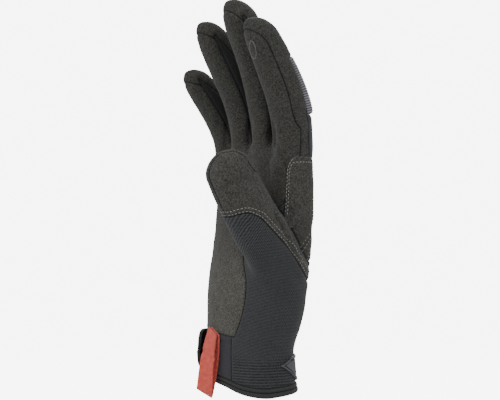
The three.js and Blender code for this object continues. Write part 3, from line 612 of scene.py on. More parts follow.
def vertex_normals(points: Array, faces: Array) -> Array:
    """Sum of the faces' cross products at each vertex, scaled to one.

    Args:
        points: points in mm, one row each.
        faces: the triangles.

    Returns:
        One unit vector for each point.
    """
    a, b, c = (points[faces[:, k]] for k in range(3))
    across = np.cross(b - a, c - a)
    total = np.zeros_like(points)
    for k in range(3):
        for axis in range(3):
            total[:, axis] += np.bincount(faces[:, k], across[:, axis], len(points))
    return unit(total)


def relaxed(points: Array, faces: Array, rounds: int, weight: Array) -> Array:
    """Move each vertex towards the mean of its neighbours by half its weight, so many times.

    Args:
        points: points in mm, one row each.
        faces: the triangles.
        rounds: how many times.
        weight: from 0, which stays, to 1 for each point.

    Returns:
        The moved points.
    """
    links = np.vstack([faces[:, [0, 1]], faces[:, [1, 2]], faces[:, [2, 0]]])
    links = np.vstack([links, links[:, ::-1]])
    links = links[weight[links[:, 0]] > 0.02]
    moving, slot = np.unique(links[:, 0], return_inverse=True)
    count = np.bincount(slot).astype(float)
    pull = 0.5 * weight[moving][:, None]
    points = points.copy()
    for _ in range(rounds):
        sums = [np.bincount(slot, points[links[:, 1], k]) for k in range(3)]
        points[moving] += pull * (np.stack(sums, 1) / count[:, None] - points[moving])
    return points


@dataclass
class Sheet:
    """A piece of the skin: points, outward normals, triangles and one column for each seam."""

    points: Array
    normals: Array
    faces: Array
    fields: Array

    def part(self, faces: Array) -> Sheet:
        """The same sheet with only some triangles, and its loose points dropped."""
        used, renumbered = np.unique(faces, return_inverse=True)
        return Sheet(
            self.points[used], self.normals[used], renumbered.reshape(-1, 3), self.fields[used]
        )

    def raised(self, out: Array) -> Sheet:
        """The same sheet moved out along its normals by mm for each point."""
        moved = self.points + self.normals * out[:, None]
        return Sheet(moved, self.normals, self.faces, self.fields)

    def measured(self, fields: Array) -> Sheet:
        """The same sheet with other columns of distances."""
        return Sheet(self.points, self.normals, self.faces, fields)

    def over(self, values: Array) -> Sheet:
        """The part of the sheet where a value for each point is positive."""
        return self.cut(values)[0]

    def cut(self, values: Array) -> tuple[Sheet, Sheet, Array, Array]:
        """Cut along the line where a value for each point is zero.

        Each crossed triangle has one corner alone on its side. Its two crossed edges get a
        point at t = v0 / (v0 - v1), held a little away from the corners.

        Args:
            values: one number for each point.

        Returns:
            The sheet where the value is positive, the sheet where it is negative, the points
            on the line and the pairs of them that follow each other.
        """
        over = values > 0
        sides = over[self.faces]
        count = sides.sum(1)
        whole_over, whole_under = self.faces[count == 3], self.faces[count == 0]
        crossed, sides, count = (a[(count > 0) & (count < 3)] for a in (self.faces, sides, count))
        alone = np.where(count == 1, sides.argmax(1), (~sides).argmax(1))
        order = (alone[:, None] + np.arange(3)) % 3
        p, q, r = np.take_along_axis(crossed, order, 1).T
        pairs = np.vstack([np.stack([p, q], 1), np.stack([p, r], 1)])
        keys, place = np.unique(np.sort(pairs, 1), axis=0, return_inverse=True)
        a, b = keys.T
        t = np.clip(values[a] / (values[a] - values[b]), 0.06, 0.94)[:, None]
        first = len(self.points)
        whole = Sheet(
            np.vstack([self.points, self.points[a] * (1 - t) + self.points[b] * t]),
            np.vstack([self.normals, unit(self.normals[a] * (1 - t) + self.normals[b] * t)]),
            self.faces,
            np.vstack([self.fields, self.fields[a] * (1 - t) + self.fields[b] * t]),
        )
        m, n = place.reshape(-1)[: len(p)] + first, place.reshape(-1)[len(p):] + first
        tips = np.stack([p, m, n], 1)
        rest = np.vstack([np.stack([m, q, r], 1), np.stack([m, r, n], 1)])
        up = count == 1
        twice = np.r_[up, up]
        return (
            whole.part(np.vstack([whole_over, tips[up], rest[~twice]])),
            whole.part(np.vstack([whole_under, tips[~up], rest[twice]])),
            np.hstack([whole.points[first:], whole.normals[first:]]),
            np.stack([m, n], 1) - first,
        )


# ---- Finishes --------------------------------------------------------------------------


class Signal:
    """A value inside a shader. Arithmetic on it adds Math nodes."""

    def __init__(self, shader: Shader, socket: bpy.types.NodeSocket) -> None:
        """Keep the shader and the output that holds the value."""
        self.shader = shader
        self.socket = socket

    def math(self, operation: str, *others: object) -> Signal:
        """Add a Math node of this value and others."""
        return self.shader.node("ShaderNodeMath", {"operation": operation}, self, *others)

    def __add__(self, other: object) -> Signal:
        """Sum."""
        return self.math("ADD", other)

    __radd__ = __add__

    def __mul__(self, other: object) -> Signal:
        """Product."""
        return self.math("MULTIPLY", other)

    __rmul__ = __mul__

    def __sub__(self, other: object) -> Signal:
        """Difference."""
        return self.math("SUBTRACT", other)

    def __rsub__(self, other: object) -> Signal:
        """Difference from a number."""
        return self.shader.node("ShaderNodeMath", {"operation": "SUBTRACT"}, other, self)

    def between(self, low: float, high: float) -> Signal:
        """Smooth step of the value from 0 at low to 1 at high."""
        settings = {"interpolation_type": "SMOOTHSTEP"}
        return self.shader.node("ShaderNodeMapRange", settings, self, low, high)


class Shader:
    """A material under one name, with one method that makes every node."""

    def __init__(self, name: str) -> None:
        """Start a material with only its output and its surface shader.

        Args:
            name: the material's name.
        """
        self.material = bpy.data.materials.new(name)
        self.material.use_nodes = True
        self.tree = self.material.node_tree
        self.surface = self.tree.nodes["Principled BSDF"]

    def feed(self, socket: bpy.types.NodeSocket, value: object) -> None:
        """Link a signal to an input, or set the input to a number or a colour.

        Args:
            socket: the input.
            value: the signal, number or colour.
        """
        if isinstance(value, Signal):
            self.tree.links.new(value.socket, socket)
        else:
            socket.default_value = value

    def node(self, kind: str, settings: dict[str, object] | None = None, *values: object,
             output: int | str = 0, **named: object) -> Signal:
        """Add a node.

        Args:
            kind: Blender's name of the node type.
            settings: the node's own properties, set first.
            values: numbers, colours or signals for its inputs, in order; None leaves one.
            output: the output that the signal reads.
            named: values for inputs by name, with _ for a space.

        Returns:
            The chosen output as a signal.
        """
        made = self.tree.nodes.new(kind)
        for key, value in (settings or {}).items():
            setattr(made, key, value)
        pairs = [(made.inputs[i], v) for i, v in enumerate(values) if v is not None]
        pairs += [(made.inputs[key.replace("_", " ")], v) for key, v in named.items()]
        for socket, value in pairs:
            self.feed(socket, value)
        return Signal(self, made.outputs[output])

    def noise(self, size: float, detail: float = 2.0, roughness: float = 0.5) -> Signal:
        """Noise with grains of a size in mm, from 0 to 1."""
        where = self.node("ShaderNodeTexCoord", output="Object")
        return self.node(
            "ShaderNodeTexNoise", None, Vector=where, Scale=1 / (size * MM), Detail=detail,
            Roughness=roughness,
        )

    def mix(self, factor: Signal | float, low: object, high: object) -> Signal:
        """Blend of two colours.

        Args:
            factor: 0 for the first colour, 1 for the second.
            low: the first colour.
            high: the second colour.

        Returns:
            The blend.
        """
        other_kinds = [None] * 5
        values = (factor, *other_kinds, low, high)
        return self.node("ShaderNodeMix", {"data_type": "RGBA"}, *values, output=2)

    def attribute(self, name: str) -> Signal:
        """The piece's own number under a name."""
        return self.node("ShaderNodeAttribute", {"attribute_name": name}, output="Fac")

    def cloth(self) -> tuple[Signal, Signal]:
        """The piece's flat cloth, across and up in mm.

        Returns:
            The two signals.
        """
        laid = self.node("ShaderNodeUVMap", {"uv_map": "cloth"})
        across = self.node("ShaderNodeSeparateXYZ", None, laid)
        return across, Signal(self, across.socket.node.outputs[1])

    def seamed(self, colour: Signal, dark: Shown, share: float, low: float, high: float) -> Signal:
        """Take a colour down to a share of a dark tone at the seams.

        Args:
            colour: the colour away from the seams.
            dark: the tone, as it shows.
            share: how much of the tone is left in the seam.
            low: mm from a seam that are all dark.
            high: mm from a seam where the colour is whole.

        Returns:
            The colour with its seams.
        """
        near = self.attribute("seam").between(low, high)
        return self.mix(near, rgb(*(v * share for v in dark)), colour)

    def set(self, **values: object) -> None:
        """Set or link the surface shader's inputs by name, with _ for a space."""
        for key, value in values.items():
            self.feed(self.surface.inputs[key.replace("_", " ")], value)

    def bump(self, height: Signal, depth: float, strength: float) -> None:
        """Raise the surface by a height from 0 to 1 over a depth in mm."""
        self.set(Normal=self.node(
            "ShaderNodeBump", None, Strength=strength, Distance=depth * MM, Height=height,
        ))


def rgb(red: float, green: float, blue: float) -> tuple[float, float, float, float]:
    """A colour given as it shows on screen, from 0 to 255, turned into light values.

    Args:
        red: from 0 to 255.
        green: the same.
        blue: the same.

    Returns:
        The colour with full opacity.
    """
    shown = np.array([red, green, blue]) / 255
    light = np.where(shown <= 0.04045, shown / 12.92, ((shown + 0.055) / 1.055) ** 2.4)
    return (*(float(v) for v in light), 1.0)


@dataclass(frozen=True)
class Look:
    """What every finish has: its name and its darkest and palest tones, as they show."""

    name: str
    dark: Shown
    pale: Shown

    def tones(self, shader: Shader, tone: Signal) -> Signal:
        """The colour at a place between the two tones."""
        return shader.mix(tone, rgb(*self.dark), rgb(*self.pale))


@dataclass(frozen=True)
class Suede(Look):
    """Brushed synthetic suede: a fine speckled nap with pale fibres, dark in its seams."""

    nap: float = 0.7
    speckle: float = 1.0
    sheen: float = 0.12
    worn: tuple[Shown, Shown] = ((47, 46, 42), (101, 99, 92))
    wear: float = 0.85

    def material(self) -> bpy.types.Material:
        """Colour from noises of three sizes and the seam distance, and a fine nap as bump.

        Returns:
            The material.
        """
        s = Shader(self.name)
        nap = s.noise(self.nap, 2, 0.6)
        speckle = s.noise(self.speckle, 3, 0.65)
        mottle = s.noise(self.speckle * 5, 2, 0.5)
        tone = (nap * 0.35 + speckle * 0.55 + mottle * 0.1).between(0.33, 0.67)
        worn = s.mix(tone, rgb(*self.worn[0]), rgb(*self.worn[1]))
        colour = s.mix(s.attribute("heel") * self.wear, self.tones(s, tone), worn)
        colour = s.seamed(colour, self.dark, 0.45, 0.05, 0.6)
        s.set(Base_Color=colour, Roughness=0.95, Sheen_Weight=self.sheen, Sheen_Roughness=0.6)
        s.set(Specular_IOR_Level=0.12)
        s.bump(nap * 0.5 + speckle * 0.5, 0.22, 0.6)
        return s.material


@dataclass(frozen=True)
class Knit(Look):
    """Stretch knit: a fine twill of small diamonds, with cross ribs that deepen down the cuff."""

    twill: float = 2.2
    course: float = 1.75
    rib_top: float = 25.0

    def material(self) -> bpy.types.Material:
        """Colour and bump from two crossing diagonals and the courses of the knit.

        Returns:
            The material.
        """
        s = Shader(self.name)
        across, up = s.cloth()
        turn = 2 * math.pi
        wobble = s.noise(6.0, 2) * 1.6
        one = ((across * 1.2 + up + wobble) * (turn / self.twill)).math("SINE")
        other = ((across - up * 1.5 + wobble) * (turn / self.twill)).math("SINE")
        dash = (across * (turn / 2.9) + wobble * 2.0).math("SINE")
        course = ((up + wobble * 0.3) * (turn / self.course)).math("SINE")
        ribbed = (self.rib_top - up).between(-3.0, 6.0)
        weave = one * other
        height = weave * (1.2 - ribbed * 0.7) + course * (dash * 0.35 + 0.65) * ribbed * 0.6
        tone = height * 0.5 + 0.26 - ribbed * 0.1 + s.noise(14.0, 2) * 0.15 + s.noise(1.1, 2) * 0.5
        colour = s.seamed(self.tones(s, tone.between(0.1, 1.0)), self.dark, 0.5, 0.0, 0.7)
        s.set(Base_Color=colour, Roughness=0.9, Sheen_Weight=0.12, Specular_IOR_Level=0.2)
        s.bump(height * 0.4 + 0.5, 0.25, 0.7)
        return s.material


@dataclass(frozen=True)
class Cloth(Look):
    """Smooth faced cloth or binding: an even fine weave with a soft gloss."""

    grain: float = 0.5
    roughness: float = 0.75
    sheen: float = 0.1

    def material(self) -> bpy.types.Material:
        """Colour from a fine and a broad noise, darker in the seams.

        Returns:
            The material.
        """
        s = Shader(self.name)
        fine = s.noise(self.grain, 2)
        broad = s.noise(11.0, 2)
        tone = fine * 0.6 + broad * 0.4
        colour = s.seamed(self.tones(s, tone.between(0.2, 0.8)), self.dark, 0.5, 0.0, 0.6)
        s.set(Base_Color=colour, Roughness=self.roughness, Sheen_Weight=self.sheen)
        s.set(Specular_IOR_Level=0.3)
        s.bump(fine, 0.1, 0.6)
        return s.material


@dataclass(frozen=True)
class Webbing(Look):
    """Woven ribbon: fine crossways weave with a ribbed edge."""

    rib: float = 0.9
    thread: float = 0.7

    def material(self) -> bpy.types.Material:
        """Colour from the weave's ribs and a soft noise.

        Returns:
            The material.
        """
        s = Shader(self.name)
        across, up = s.cloth()
        turn = 2 * math.pi
        ribs = (up * (turn / self.rib)).math("SINE")
        weave = ribs * (across * (turn / self.thread)).math("SINE") * 0.5 + 0.5
        tone = weave * 0.35 + s.noise(2.5, 3) * 0.5 + s.noise(0.4, 2) * 0.25
        colour = self.tones(s, tone.between(0.2, 0.9))
        s.set(Base_Color=colour, Roughness=0.8, Sheen_Weight=0.2, Specular_IOR_Level=0.25)
        s.bump(weave, 0.12, 0.6)
        return s.material


@dataclass(frozen=True)
class Rubber(Look):
    """Moulded soft rubber with a faint grain and scuffs, and painted shade in its valleys."""

    roughness: float = 0.55
    # share of the dark tone left in the valleys, as painted shade
    valley_shade: float = 0.4

    def material(self) -> bpy.types.Material:
        """Colour and roughness from a scuff noise, with painted shade darkening the valleys
        between ribs.

        Returns:
            The material.
        """
        s = Shader(self.name)
        scuff = s.noise(4.0, 4, 0.6)
        grain = s.noise(0.35, 2)
        colour = self.tones(s, scuff.between(0.1, 0.9))
        # painted shade: the valleys between ribs and the groove inside the badge's rim are
        # darkened in colour
        valley_shade = s.attribute("valley_shade")
        colour = s.mix(valley_shade, colour, rgb(*(v * self.valley_shade for v in self.dark)))
        s.set(Base_Color=colour, Roughness=scuff * 0.25 + (self.roughness - 0.12))
        s.set(Specular_IOR_Level=0.3)
        s.bump(grain, 0.06, 0.5)
        return s.material


class Finish(Enum):
    """Every finish of the glove."""

    PALM_SUEDE = Suede("palm_suede", (28, 28, 26), (77, 76, 72))
    THUMB_SUEDE = Suede("thumb_suede", (29, 29, 27), (86, 85, 81))
    FOURCHETTE = Cloth("fourchette_cloth", (30, 31, 31), (46, 47, 47), 0.6, 0.9)
    BACK = Cloth("back_cloth", (40, 41, 46), (58, 60, 66), 0.6, 0.7, 0.1)
    KNIT = Knit("cuff_knit", (23, 25, 26), (74, 76, 78))
    HEM = Cloth("hem_binding", (36, 37, 37), (58, 59, 59), 0.5, 0.85)
    STRAP = Rubber("strap_black", (28, 25, 23), (50, 46, 43), 0.55)
    WEBBING = Webbing("loop_webbing", (186, 60, 50), (232, 110, 96))
    # the badge's and the ribs' last number: how much of the dark tone stays in their valleys, as
    # painted shade
    RUBBER = Rubber("badge_rubber", (74, 75, 79), (94, 95, 100), 0.6, 0.22)
    RIBS = Rubber("knuckle_ribs", (120, 120, 127), (152, 152, 160), 0.65, 0.2)
    OVAL = Cloth("pressed_oval", (86, 85, 81), (112, 111, 106), 0.5, 0.9)
    THREAD = Cloth("stitch_thread", (128, 127, 122), (172, 171, 166), 0.3, 0.7)
    DARK_THREAD = Cloth("dark_thread", (14, 14, 14), (28, 28, 28), 0.3, 0.8)


class Wardrobe:
    """Makes each finish once and puts it on pieces."""

    def __init__(self) -> None:
        """Start with nothing made."""
        self.made: dict[Finish, bpy.types.Material] = {}

    def wear(self, piece: bpy.types.Object, finish: Finish) -> None:
        """Put a finish on every face of a piece.

        Args:
            piece: the object.
            finish: what it is made of.
        """
        if finish not in self.made:
            self.made[finish] = finish.value.material()
        piece.data.materials.clear()
        piece.data.materials.append(self.made[finish])


def settle(piece: bpy.types.Object, finish: Finish, wardrobe: Wardrobe,
           replaced: Sequence[str] = ()) -> bpy.types.Object:
    """Dress a piece, let it ride on the glove and report it.

    Args:
        piece: the object, at its place.
        finish: what it is made of.
        wardrobe: the materials made so far.
        replaced: the solids that it stands for.

    Returns:
        The same piece.
    """
    wardrobe.wear(piece, finish)
    if replaced:
        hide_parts(*replaced)
    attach(piece, "root")
    LOG.info("%s: %d faces", piece.name, len(piece.data.polygons))
    return piece


def thicken(piece: bpy.types.Object, thickness: float, offset: float = -1.0) -> None:
    """Give a sheet its wall, inwards from its face unless the offset says otherwise.

    Args:
        piece: the sheet.
        thickness: in mm.
        offset: -1 for inwards, 0 for both ways.
    """
    wall = piece.modifiers.new("wall", "SOLIDIFY")
    wall.thickness = thickness * MM
    wall.offset = offset
    wall.use_even_offset = False


def soften(piece: bpy.types.Object, width: float) -> None:
    """Round the sharp edges of a piece over a width in mm.

    Args:
        piece: the object.
        width: in mm.
    """
    bevel = piece.modifiers.new("soft_edge", "BEVEL")
    bevel.width = width * MM
    bevel.segments = 2
    bevel.limit_method = "ANGLE"


# ---- The skin and its seams --------------------------------------------------------------


@dataclass(frozen=True)
class Crease:
    """A fold seen from the thumb side: a path of (right, up) in mm, its width and its height."""

    path: Rows
    width: float
    height: float


@dataclass
class Skin:
    """The glove's whole outer skin and the panels that it is cut into."""

    voxel: float = 0.8
    meld: float = 3.5
    hem_line: float = 5.9
    tip_round: float = 14.5
    palm_seam: float = 19.0
    back_edge: float = 197.0
    tip_seam: float = 4.4
    fold_rounds: int = 140
    even_rounds: int = 6
    seam_meld: float = 14.0
    form_reach: tuple[float, float] = (1.3, 9.0)
    palm_slack: float = 3.0
    crook: tuple[float, float] = (84.0, 104.0)
    crook_spread: float = 3.5
    crook_hold: float = 0.3
    heel_fade: tuple[float, float] = (70.0, 112.0)
    strip_ends: tuple[float, float] = (0.08, 0.9)
    side_start: float = 0.1
    side_rise: Rows = ((30, 15), (40, 35))
    swell: tuple[float, float, float] = (0.25, 2.3, 1.6)
    wrinkles: tuple[tuple[float, float, int], ...] = ((0.16, 22, 3), (0.07, 8, 5))
    palm_top: float = 1.04
    palm_foot: float = 36.5
    wrist_arc: tuple[float, float] = (-163.0, -75.0)
    wrist_top: float = 0.255
    back_start: float = 13.0
    back_foot: float = 0.54
    finger_back: tuple[float, float] = (-40.0, 220.0)
    side_foot: float = 0.505
    side_top: float = 1.06
    thumb_tip: tuple[float, float] = (30.0, 16.0)
    thumb_scale: float = 14.0
    knit_radius: float = 34.0
    fourchette_rows: Rows = ((0.08, 32), (0.66, 32), (0.9, -10))
    palm_edge: Rows = (
        (0.2, -74), (0.245, -70), (0.3, -65), (0.38, -62), (0.46, -65), (0.55, -76), (0.64, -80),
        (0.7, -68), (0.77, -33), (0.82, -24), (0.93, -12), (1.06, -9),
    )
    side_rows: Rows = (
        (0.505, -30, 12), (0.55, -40, 34), (0.6, -44, 54), (0.67, -40, 60), (0.72, -34, 48),
        (0.82, -24, 20), (0.93, -12, 14), (1.06, -9, 12),
    )
    thumb_reach: float = 1.08
    thumb_side: float = -177.0
    thumb_edge: Rows = (
        (-40, 112.6), (-17, 112.6), (-12, 112.8), (-6, 114.4), (-1, 115.2), (3, 114),
        (7.3, 111.6), (10.9, 107.8), (15.8, 102.6), (21.3, 96.4), (26.1, 90.2), (29.8, 84.4),
        (33, 78.6), (40, 66),
    )
    v_lines: tuple[Rows, ...] = (
        ((37.6, 102.6), (34, 97.6), (30.6, 92.8)),
        ((38, 99.4), (35, 95.2), (31.6, 90)),
        ((37.6, 96), (37.2, 91), (36, 87), (34, 83.8), (33, 83.4), (32, 84.8), (30.6, 88.4)),
    )
    creases: tuple[Crease, ...] = (
        Crease(((13.6, 176), (13.8, 160), (12.6, 152), (9.8, 147), (11.5, 129)), 2.6, -2.2),
        Crease(((16.4, 158), (18.2, 148), (19.8, 139)), 1.8, 0.7),
        Crease(((0.4, 176), (-0.4, 165), (-0.8, 150)), 1.8, -1.2),
        Crease(((2.6, 171), (2.2, 165), (1.6, 154)), 1.3, 0.4),
        Crease(((-15, 176), (-15.5, 160), (-13, 148)), 2.2, -1.2),
        Crease(((-9, 150), (-8, 138), (-3, 126)), 3.0, -0.6),
        Crease(((22, 104.6), (30, 105), (38, 105)), 0.9, -0.6),
        Crease(((15, 120), (18.4, 112), (22.6, 105), (26, 96.5), (30.6, 86)), 0.9, 1.0),
        Crease(((13.6, 119), (16.8, 111), (20.8, 103.6), (24.4, 95.5), (29.4, 86)), 0.8, -1.2),
        Crease(((37.5, 101.4), (34, 96.5), (30.4, 91.4)), 0.8, -0.5),
        Crease(((-26, 36), (-16, 33.5), (-12, 33)), 1.2, -0.4),
    )
    sheet: Sheet = field(init=False)
    panels: dict[str, Sheet] = field(init=False, default_factory=dict)

    def build(self) -> None:
        """Join the tubes into one smooth skin and cut it into panels."""
        parts = [PALM.shell(), *(finger.shell() for finger in FINGERS), THUMB.shell()]
        points, faces = self.united(*joined(parts))
        points = relaxed(points, faces, self.fold_rounds, self.junction(points))
        points = relaxed(points, faces, self.even_rounds, np.ones(len(points)))
        sheet = Sheet(points, vertex_normals(points, faces), faces, np.zeros((len(points), 0)))
        sheet = sheet.over(PALM.locate(points).along - self.hem_line)
        fields = self.seam_fields(sheet.points, sheet.normals @ EYE, located(sheet.points))
        sheet.fields = np.stack(list(fields.values()), 1)
        self.sheet = rest = sheet
        for k, name in enumerate(fields):
            self.panels[name], rest, _, _ = rest.cut(rest.fields[:, k])
        self.panels["knit_cuff"] = rest
        LOG.info("skin: %d points", len(points))

    def junction(self, points: Array) -> Array:
        """How near points are to a fold where a finger or the thumb grows out of the hand.

        The weight is exp(-(d/w)^2), with d the larger of the distances to the hand's form and to
        the nearest tube; the crook of the thumb above its root stays crisp.

        Args:
            points: points in mm, one row each.

        Returns:
            A weight from 0 to 1 for each point.
        """
        palm = PALM.locate(points)
        hand = np.abs(palm.radius * (1 - 1 / np.maximum(palm.share, 0.05)))
        hand = np.maximum(hand, points[:, 2] - WEB_HEIGHT)
        hand = np.where((points[:, 2] < WEB_HEIGHT) | (palm.share > 1), hand,
                        np.abs(points[:, 2] - WEB_HEIGHT))
        weight = np.zeros(len(points))
        for tube in (*FINGERS, THUMB):
            place = tube.locate(points)
            away = np.abs(place.radius * (1 - 1 / np.maximum(place.share, 0.05)))
            away = np.maximum(away, np.maximum(-place.along, 0))
            low = 1 - step_up(points[:, 2], *self.crook) if tube is THUMB else 0.0
            near = bell(np.maximum(hand, away), self.meld * (1 + self.crook_spread * low))
            if tube is THUMB:
                near = near * (self.crook_hold + (1 - self.crook_hold) * low)
            weight = np.maximum(weight, near)
        return weight

    def united(self, points: Array, faces: Array) -> tuple[Array, Array]:
        """One closed skin round several overlapping ones, through a grid of small cells.

        Args:
            points: points in mm, one row each.
            faces: the triangles of all the skins.

        Returns:
            The points and triangles of the one skin.
        """
        mesh = bpy.data.meshes.new("forms")
        mesh.from_pydata(points.tolist(), [], faces.tolist())
        form = placed("forms", mesh)
        union = form.modifiers.new("union", "REMESH")
        union.mode = "VOXEL"
        union.voxel_size = self.voxel
        union.adaptivity = 0
        made = form.evaluated_get(bpy.context.evaluated_depsgraph_get()).to_mesh()
        made.calc_loop_triangles()
        found = np.zeros(len(made.vertices) * 3)
        made.vertices.foreach_get("co", found)
        corners = np.zeros(len(made.loop_triangles) * 3, np.int32)
        made.loop_triangles.foreach_get("vertices", corners)
        bpy.data.objects.remove(form)
        bpy.data.meshes.remove(mesh)
        return found.reshape(-1, 3), corners.reshape(-1, 3)

    def seam_fields(
        self, points: Array, facing: Array, places: dict[str, Place]
    ) -> dict[str, Array]:
        """Signed mm inside each panel, in the order in which they are cut.

        Args:
            points: the points of the skin.
            facing: how far each point faces the thumb side quarter, from -1 to 1.
            places: where they lie on each tube and on the palm.

        Returns:
            One array for each panel name, positive inside.
        """
        fields: dict[str, Array] = {}
        limit, scale = self.form_reach
        near = {name: (limit - place.share) * scale for name, place in places.items()}
        near["palm"] = near["palm"] + self.palm_slack
        for tube in FINGERS:
            place = places[tube.name]
            start, end = RIB_START * tube.length, RIB_END * tube.length
            fields[f"{tube.name}_knuckle_ribs"] = np.minimum.reduce([
                place.between(90 - RIB_ARC, 90 + RIB_ARC),
                place.along - start, end - place.along, near[tube.name],
            ])
        for first, second in zip(FINGERS, FINGERS[1:]):
            fields[f"fourchette_{first.name}_{second.name}"] = np.maximum(
                self.strip(first, places, near, True), self.strip(second, places, near, False)
            )
        thumb = places["thumb"]
        above = self.above_thumb_seam(points)
        region = np.minimum(above, (self.thumb_reach - thumb.share) * self.thumb_scale)
        tip = step_up(THUMB.length - thumb.along, *self.thumb_tip)
        ahead = (facing - 0.5) * 13
        back = thumb.between(self.thumb_side, -5) * (1 - tip) + ahead * tip
        fields["thumb_back"] = np.minimum(region, back)
        fields["thumb_front"] = region
        palm = places["palm"]
        at = palm.along / WEB_HEIGHT
        inner = palm.between(self.back_edge - 360, smooth_column(self.palm_edge, 1, at))
        palm_side = np.minimum.reduce([
            inner, (self.palm_top - at) * WEB_HEIGHT, palm.along - self.palm_foot,
            near["palm"],
        ])
        for tube in FINGERS:
            place = places[tube.name]
            front = rounded(
                place.between(self.palm_seam - 180, -self.palm_seam),
                tube.length - self.tip_seam - place.along, self.tip_round,
            )
            front = np.minimum.reduce([front, place.along, near[tube.name]])
            palm_side = melded(palm_side, front, self.seam_meld)
        fields["palm_panel"] = palm_side
        fields["index_side_panel"] = self.index_side(places, near, above)
        for tube in FINGERS[1:]:
            place = places[tube.name]
            fields[f"{tube.name}_finger_cap"] = np.minimum(
                place.along - RIB_END * tube.length, near[tube.name]
            )
        fields["wrist_front"] = np.minimum(
            palm.between(*self.wrist_arc), self.wrist_top * WEB_HEIGHT - palm.along
        )
        backs = [
            np.minimum.reduce([
                places[tube.name].between(*self.finger_back), places[tube.name].along,
                near[tube.name],
            ])
            for tube in FINGERS
        ]
        hand_back = np.minimum(
            palm.between(self.back_start, self.back_edge),
            palm.along - self.back_foot * WEB_HEIGHT,
        )
        fields["back_panel"] = np.maximum.reduce([hand_back, *backs])
        return fields

    def strip(self, tube: Tube, places: dict[str, Place], near: dict[str, Array],
              mirrored: bool) -> Array:
        """Signed mm inside the strip down one side of a finger.

        Args:
            tube: the finger.
            places: where the skin's points lie.
            near: mm inside each form's reach.
            mirrored: whether it is on the little-finger side.

        Returns:
            The distance for each point.
        """
        place = places[tube.name]
        top = np.interp(place.along / tube.length, *np.array(self.fourchette_rows).T)
        low, high = (180 - top, 180 + self.palm_seam) if mirrored else (-self.palm_seam, top)
        return np.minimum.reduce([
            place.between(low, high), place.along - self.strip_ends[0] * tube.length,
            self.strip_ends[1] * tube.length - place.along, near[tube.name],
        ])

    def above_thumb_seam(self, points: Array) -> Array:
        """Signed mm above the thumb's slanting seam, seen from the thumb side quarter.

        Args:
            points: points in mm, one row each.

        Returns:
            The distance for each point.
        """
        right = rightward(points)
        edge = smooth_column(self.thumb_edge, 1, right)
        slope = (smooth_column(self.thumb_edge, 1, right + 0.5) - edge) / 0.5
        return (points[:, 2] - edge) / np.sqrt(1 + slope**2)

    def index_side(self, places: dict[str, Place], near: dict[str, Array], above: Array) -> Array:
        """Signed mm inside the thumb side of the index finger, its tip and the V below it.

        Args:
            places: where the skin's points lie.
            near: mm inside each form's reach.
            above: mm above the thumb's seam.

        Returns:
            The distance for each point.
        """
        tube, place, palm = FINGERS[0], places["index"], places["palm"]
        at = palm.along / WEB_HEIGHT
        low, high = (smooth_column(self.side_rows, k, at) for k in (1, 2))
        side = np.minimum.reduce([
            place.between(-self.palm_seam, np.interp(place.along, *np.array(self.side_rise).T)),
            place.along - self.side_start * tube.length, near["index"],
        ])
        tip = np.minimum(place.along - RIB_END * tube.length, near["index"])
        base = np.minimum.reduce([
            palm.between(low, high), (at - self.side_foot) * WEB_HEIGHT,
            (self.side_top - at) * WEB_HEIGHT, near["palm"], above,
        ])
        return np.maximum(melded(side, base, self.seam_meld), tip)

    def seam_distance(self, name: str) -> Array:
        """How far each point of a panel is from its nearest seam, in mm.

        Args:
            name: the panel.

        Returns:
            The distance for each of its points.
        """
        sheet = self.panels[name]
        last = min(list(self.panels).index(name) + 1, sheet.fields.shape[1])
        hem = np.abs(PALM.locate(sheet.points).along - self.hem_line)
        return np.minimum(np.abs(sheet.fields[:, :last]).min(1), hem)

    def relief(self, sheet: Sheet, seam: Array) -> Array:
        """How far the skin stands out or in, in mm.

        A groove at each seam, a swell beside it, soft wrinkles and the named creases.

        Args:
            sheet: a part of the skin.
            seam: mm to the nearest seam for each point.

        Returns:
            The height for each point.
        """
        facing = sheet.normals @ EYE
        flat = np.stack([rightward(sheet.points), sheet.points[:, 2]], 1)
        height, middle, width = self.swell
        out = groove(seam) + height * bell(seam - middle, width)
        for height, size, seed in self.wrinkles:
            out += height * soft_noise(sheet.points, size, seed)
        for crease in self.creases:
            away, share = path_distance(flat, np.array(crease.path))
            fade = np.clip(np.minimum(share, 1 - share) * 5, 0, 1)
            out += crease.height * bell(away, crease.width) * fade * step_up(facing, 0.0, 0.4)
        return out

    def raised(self, name: str) -> Sheet:
        """A panel with its relief, as its piece shows it."""
        sheet = self.panels[name]
        return sheet.raised(self.relief(sheet, self.seam_distance(name)))

    def dress(self, wardrobe: Wardrobe) -> None:
        """Make a piece of each panel, with its relief, its flat cloth and its wall.

        Args:
            wardrobe: the materials made so far.
        """
        looks = {
            "thumb_back": (Finish.THUMB_SUEDE, "suede"),
            "thumb_front": (Finish.THUMB_SUEDE, "suede"),
            "knit_cuff": (Finish.KNIT, "knit"),
            "wrist_front": (Finish.BACK, "back_cloth"),
            "back_panel": (Finish.BACK, "back_cloth"),
            **{name: (Finish.FOURCHETTE, "fourchette") for name in self.panels
               if name.startswith("fourchette")},
        }
        for name, sheet in self.panels.items():
            if name.endswith("ribs"):
                continue
            finish, slot = looks.get(name, (Finish.PALM_SUEDE, "suede"))
            piece = make_mesh(f"{name}_skin", self.raised(name).points, sheet.faces)
            set_attribute(piece, "seam", self.seam_distance(name))
            if name == "palm_panel":
                set_attribute(piece, "heel", 1 - step_up(sheet.points[:, 2], *self.heel_fade))
            place = PALM.locate(sheet.points)
            round_the_hand = (place.angle + 100) % 360 - 100
            set_uv(piece, np.radians(round_the_hand) * self.knit_radius, sheet.points[:, 2])
            thicken(piece, WALL)
            settle(piece, finish, wardrobe, (name,))


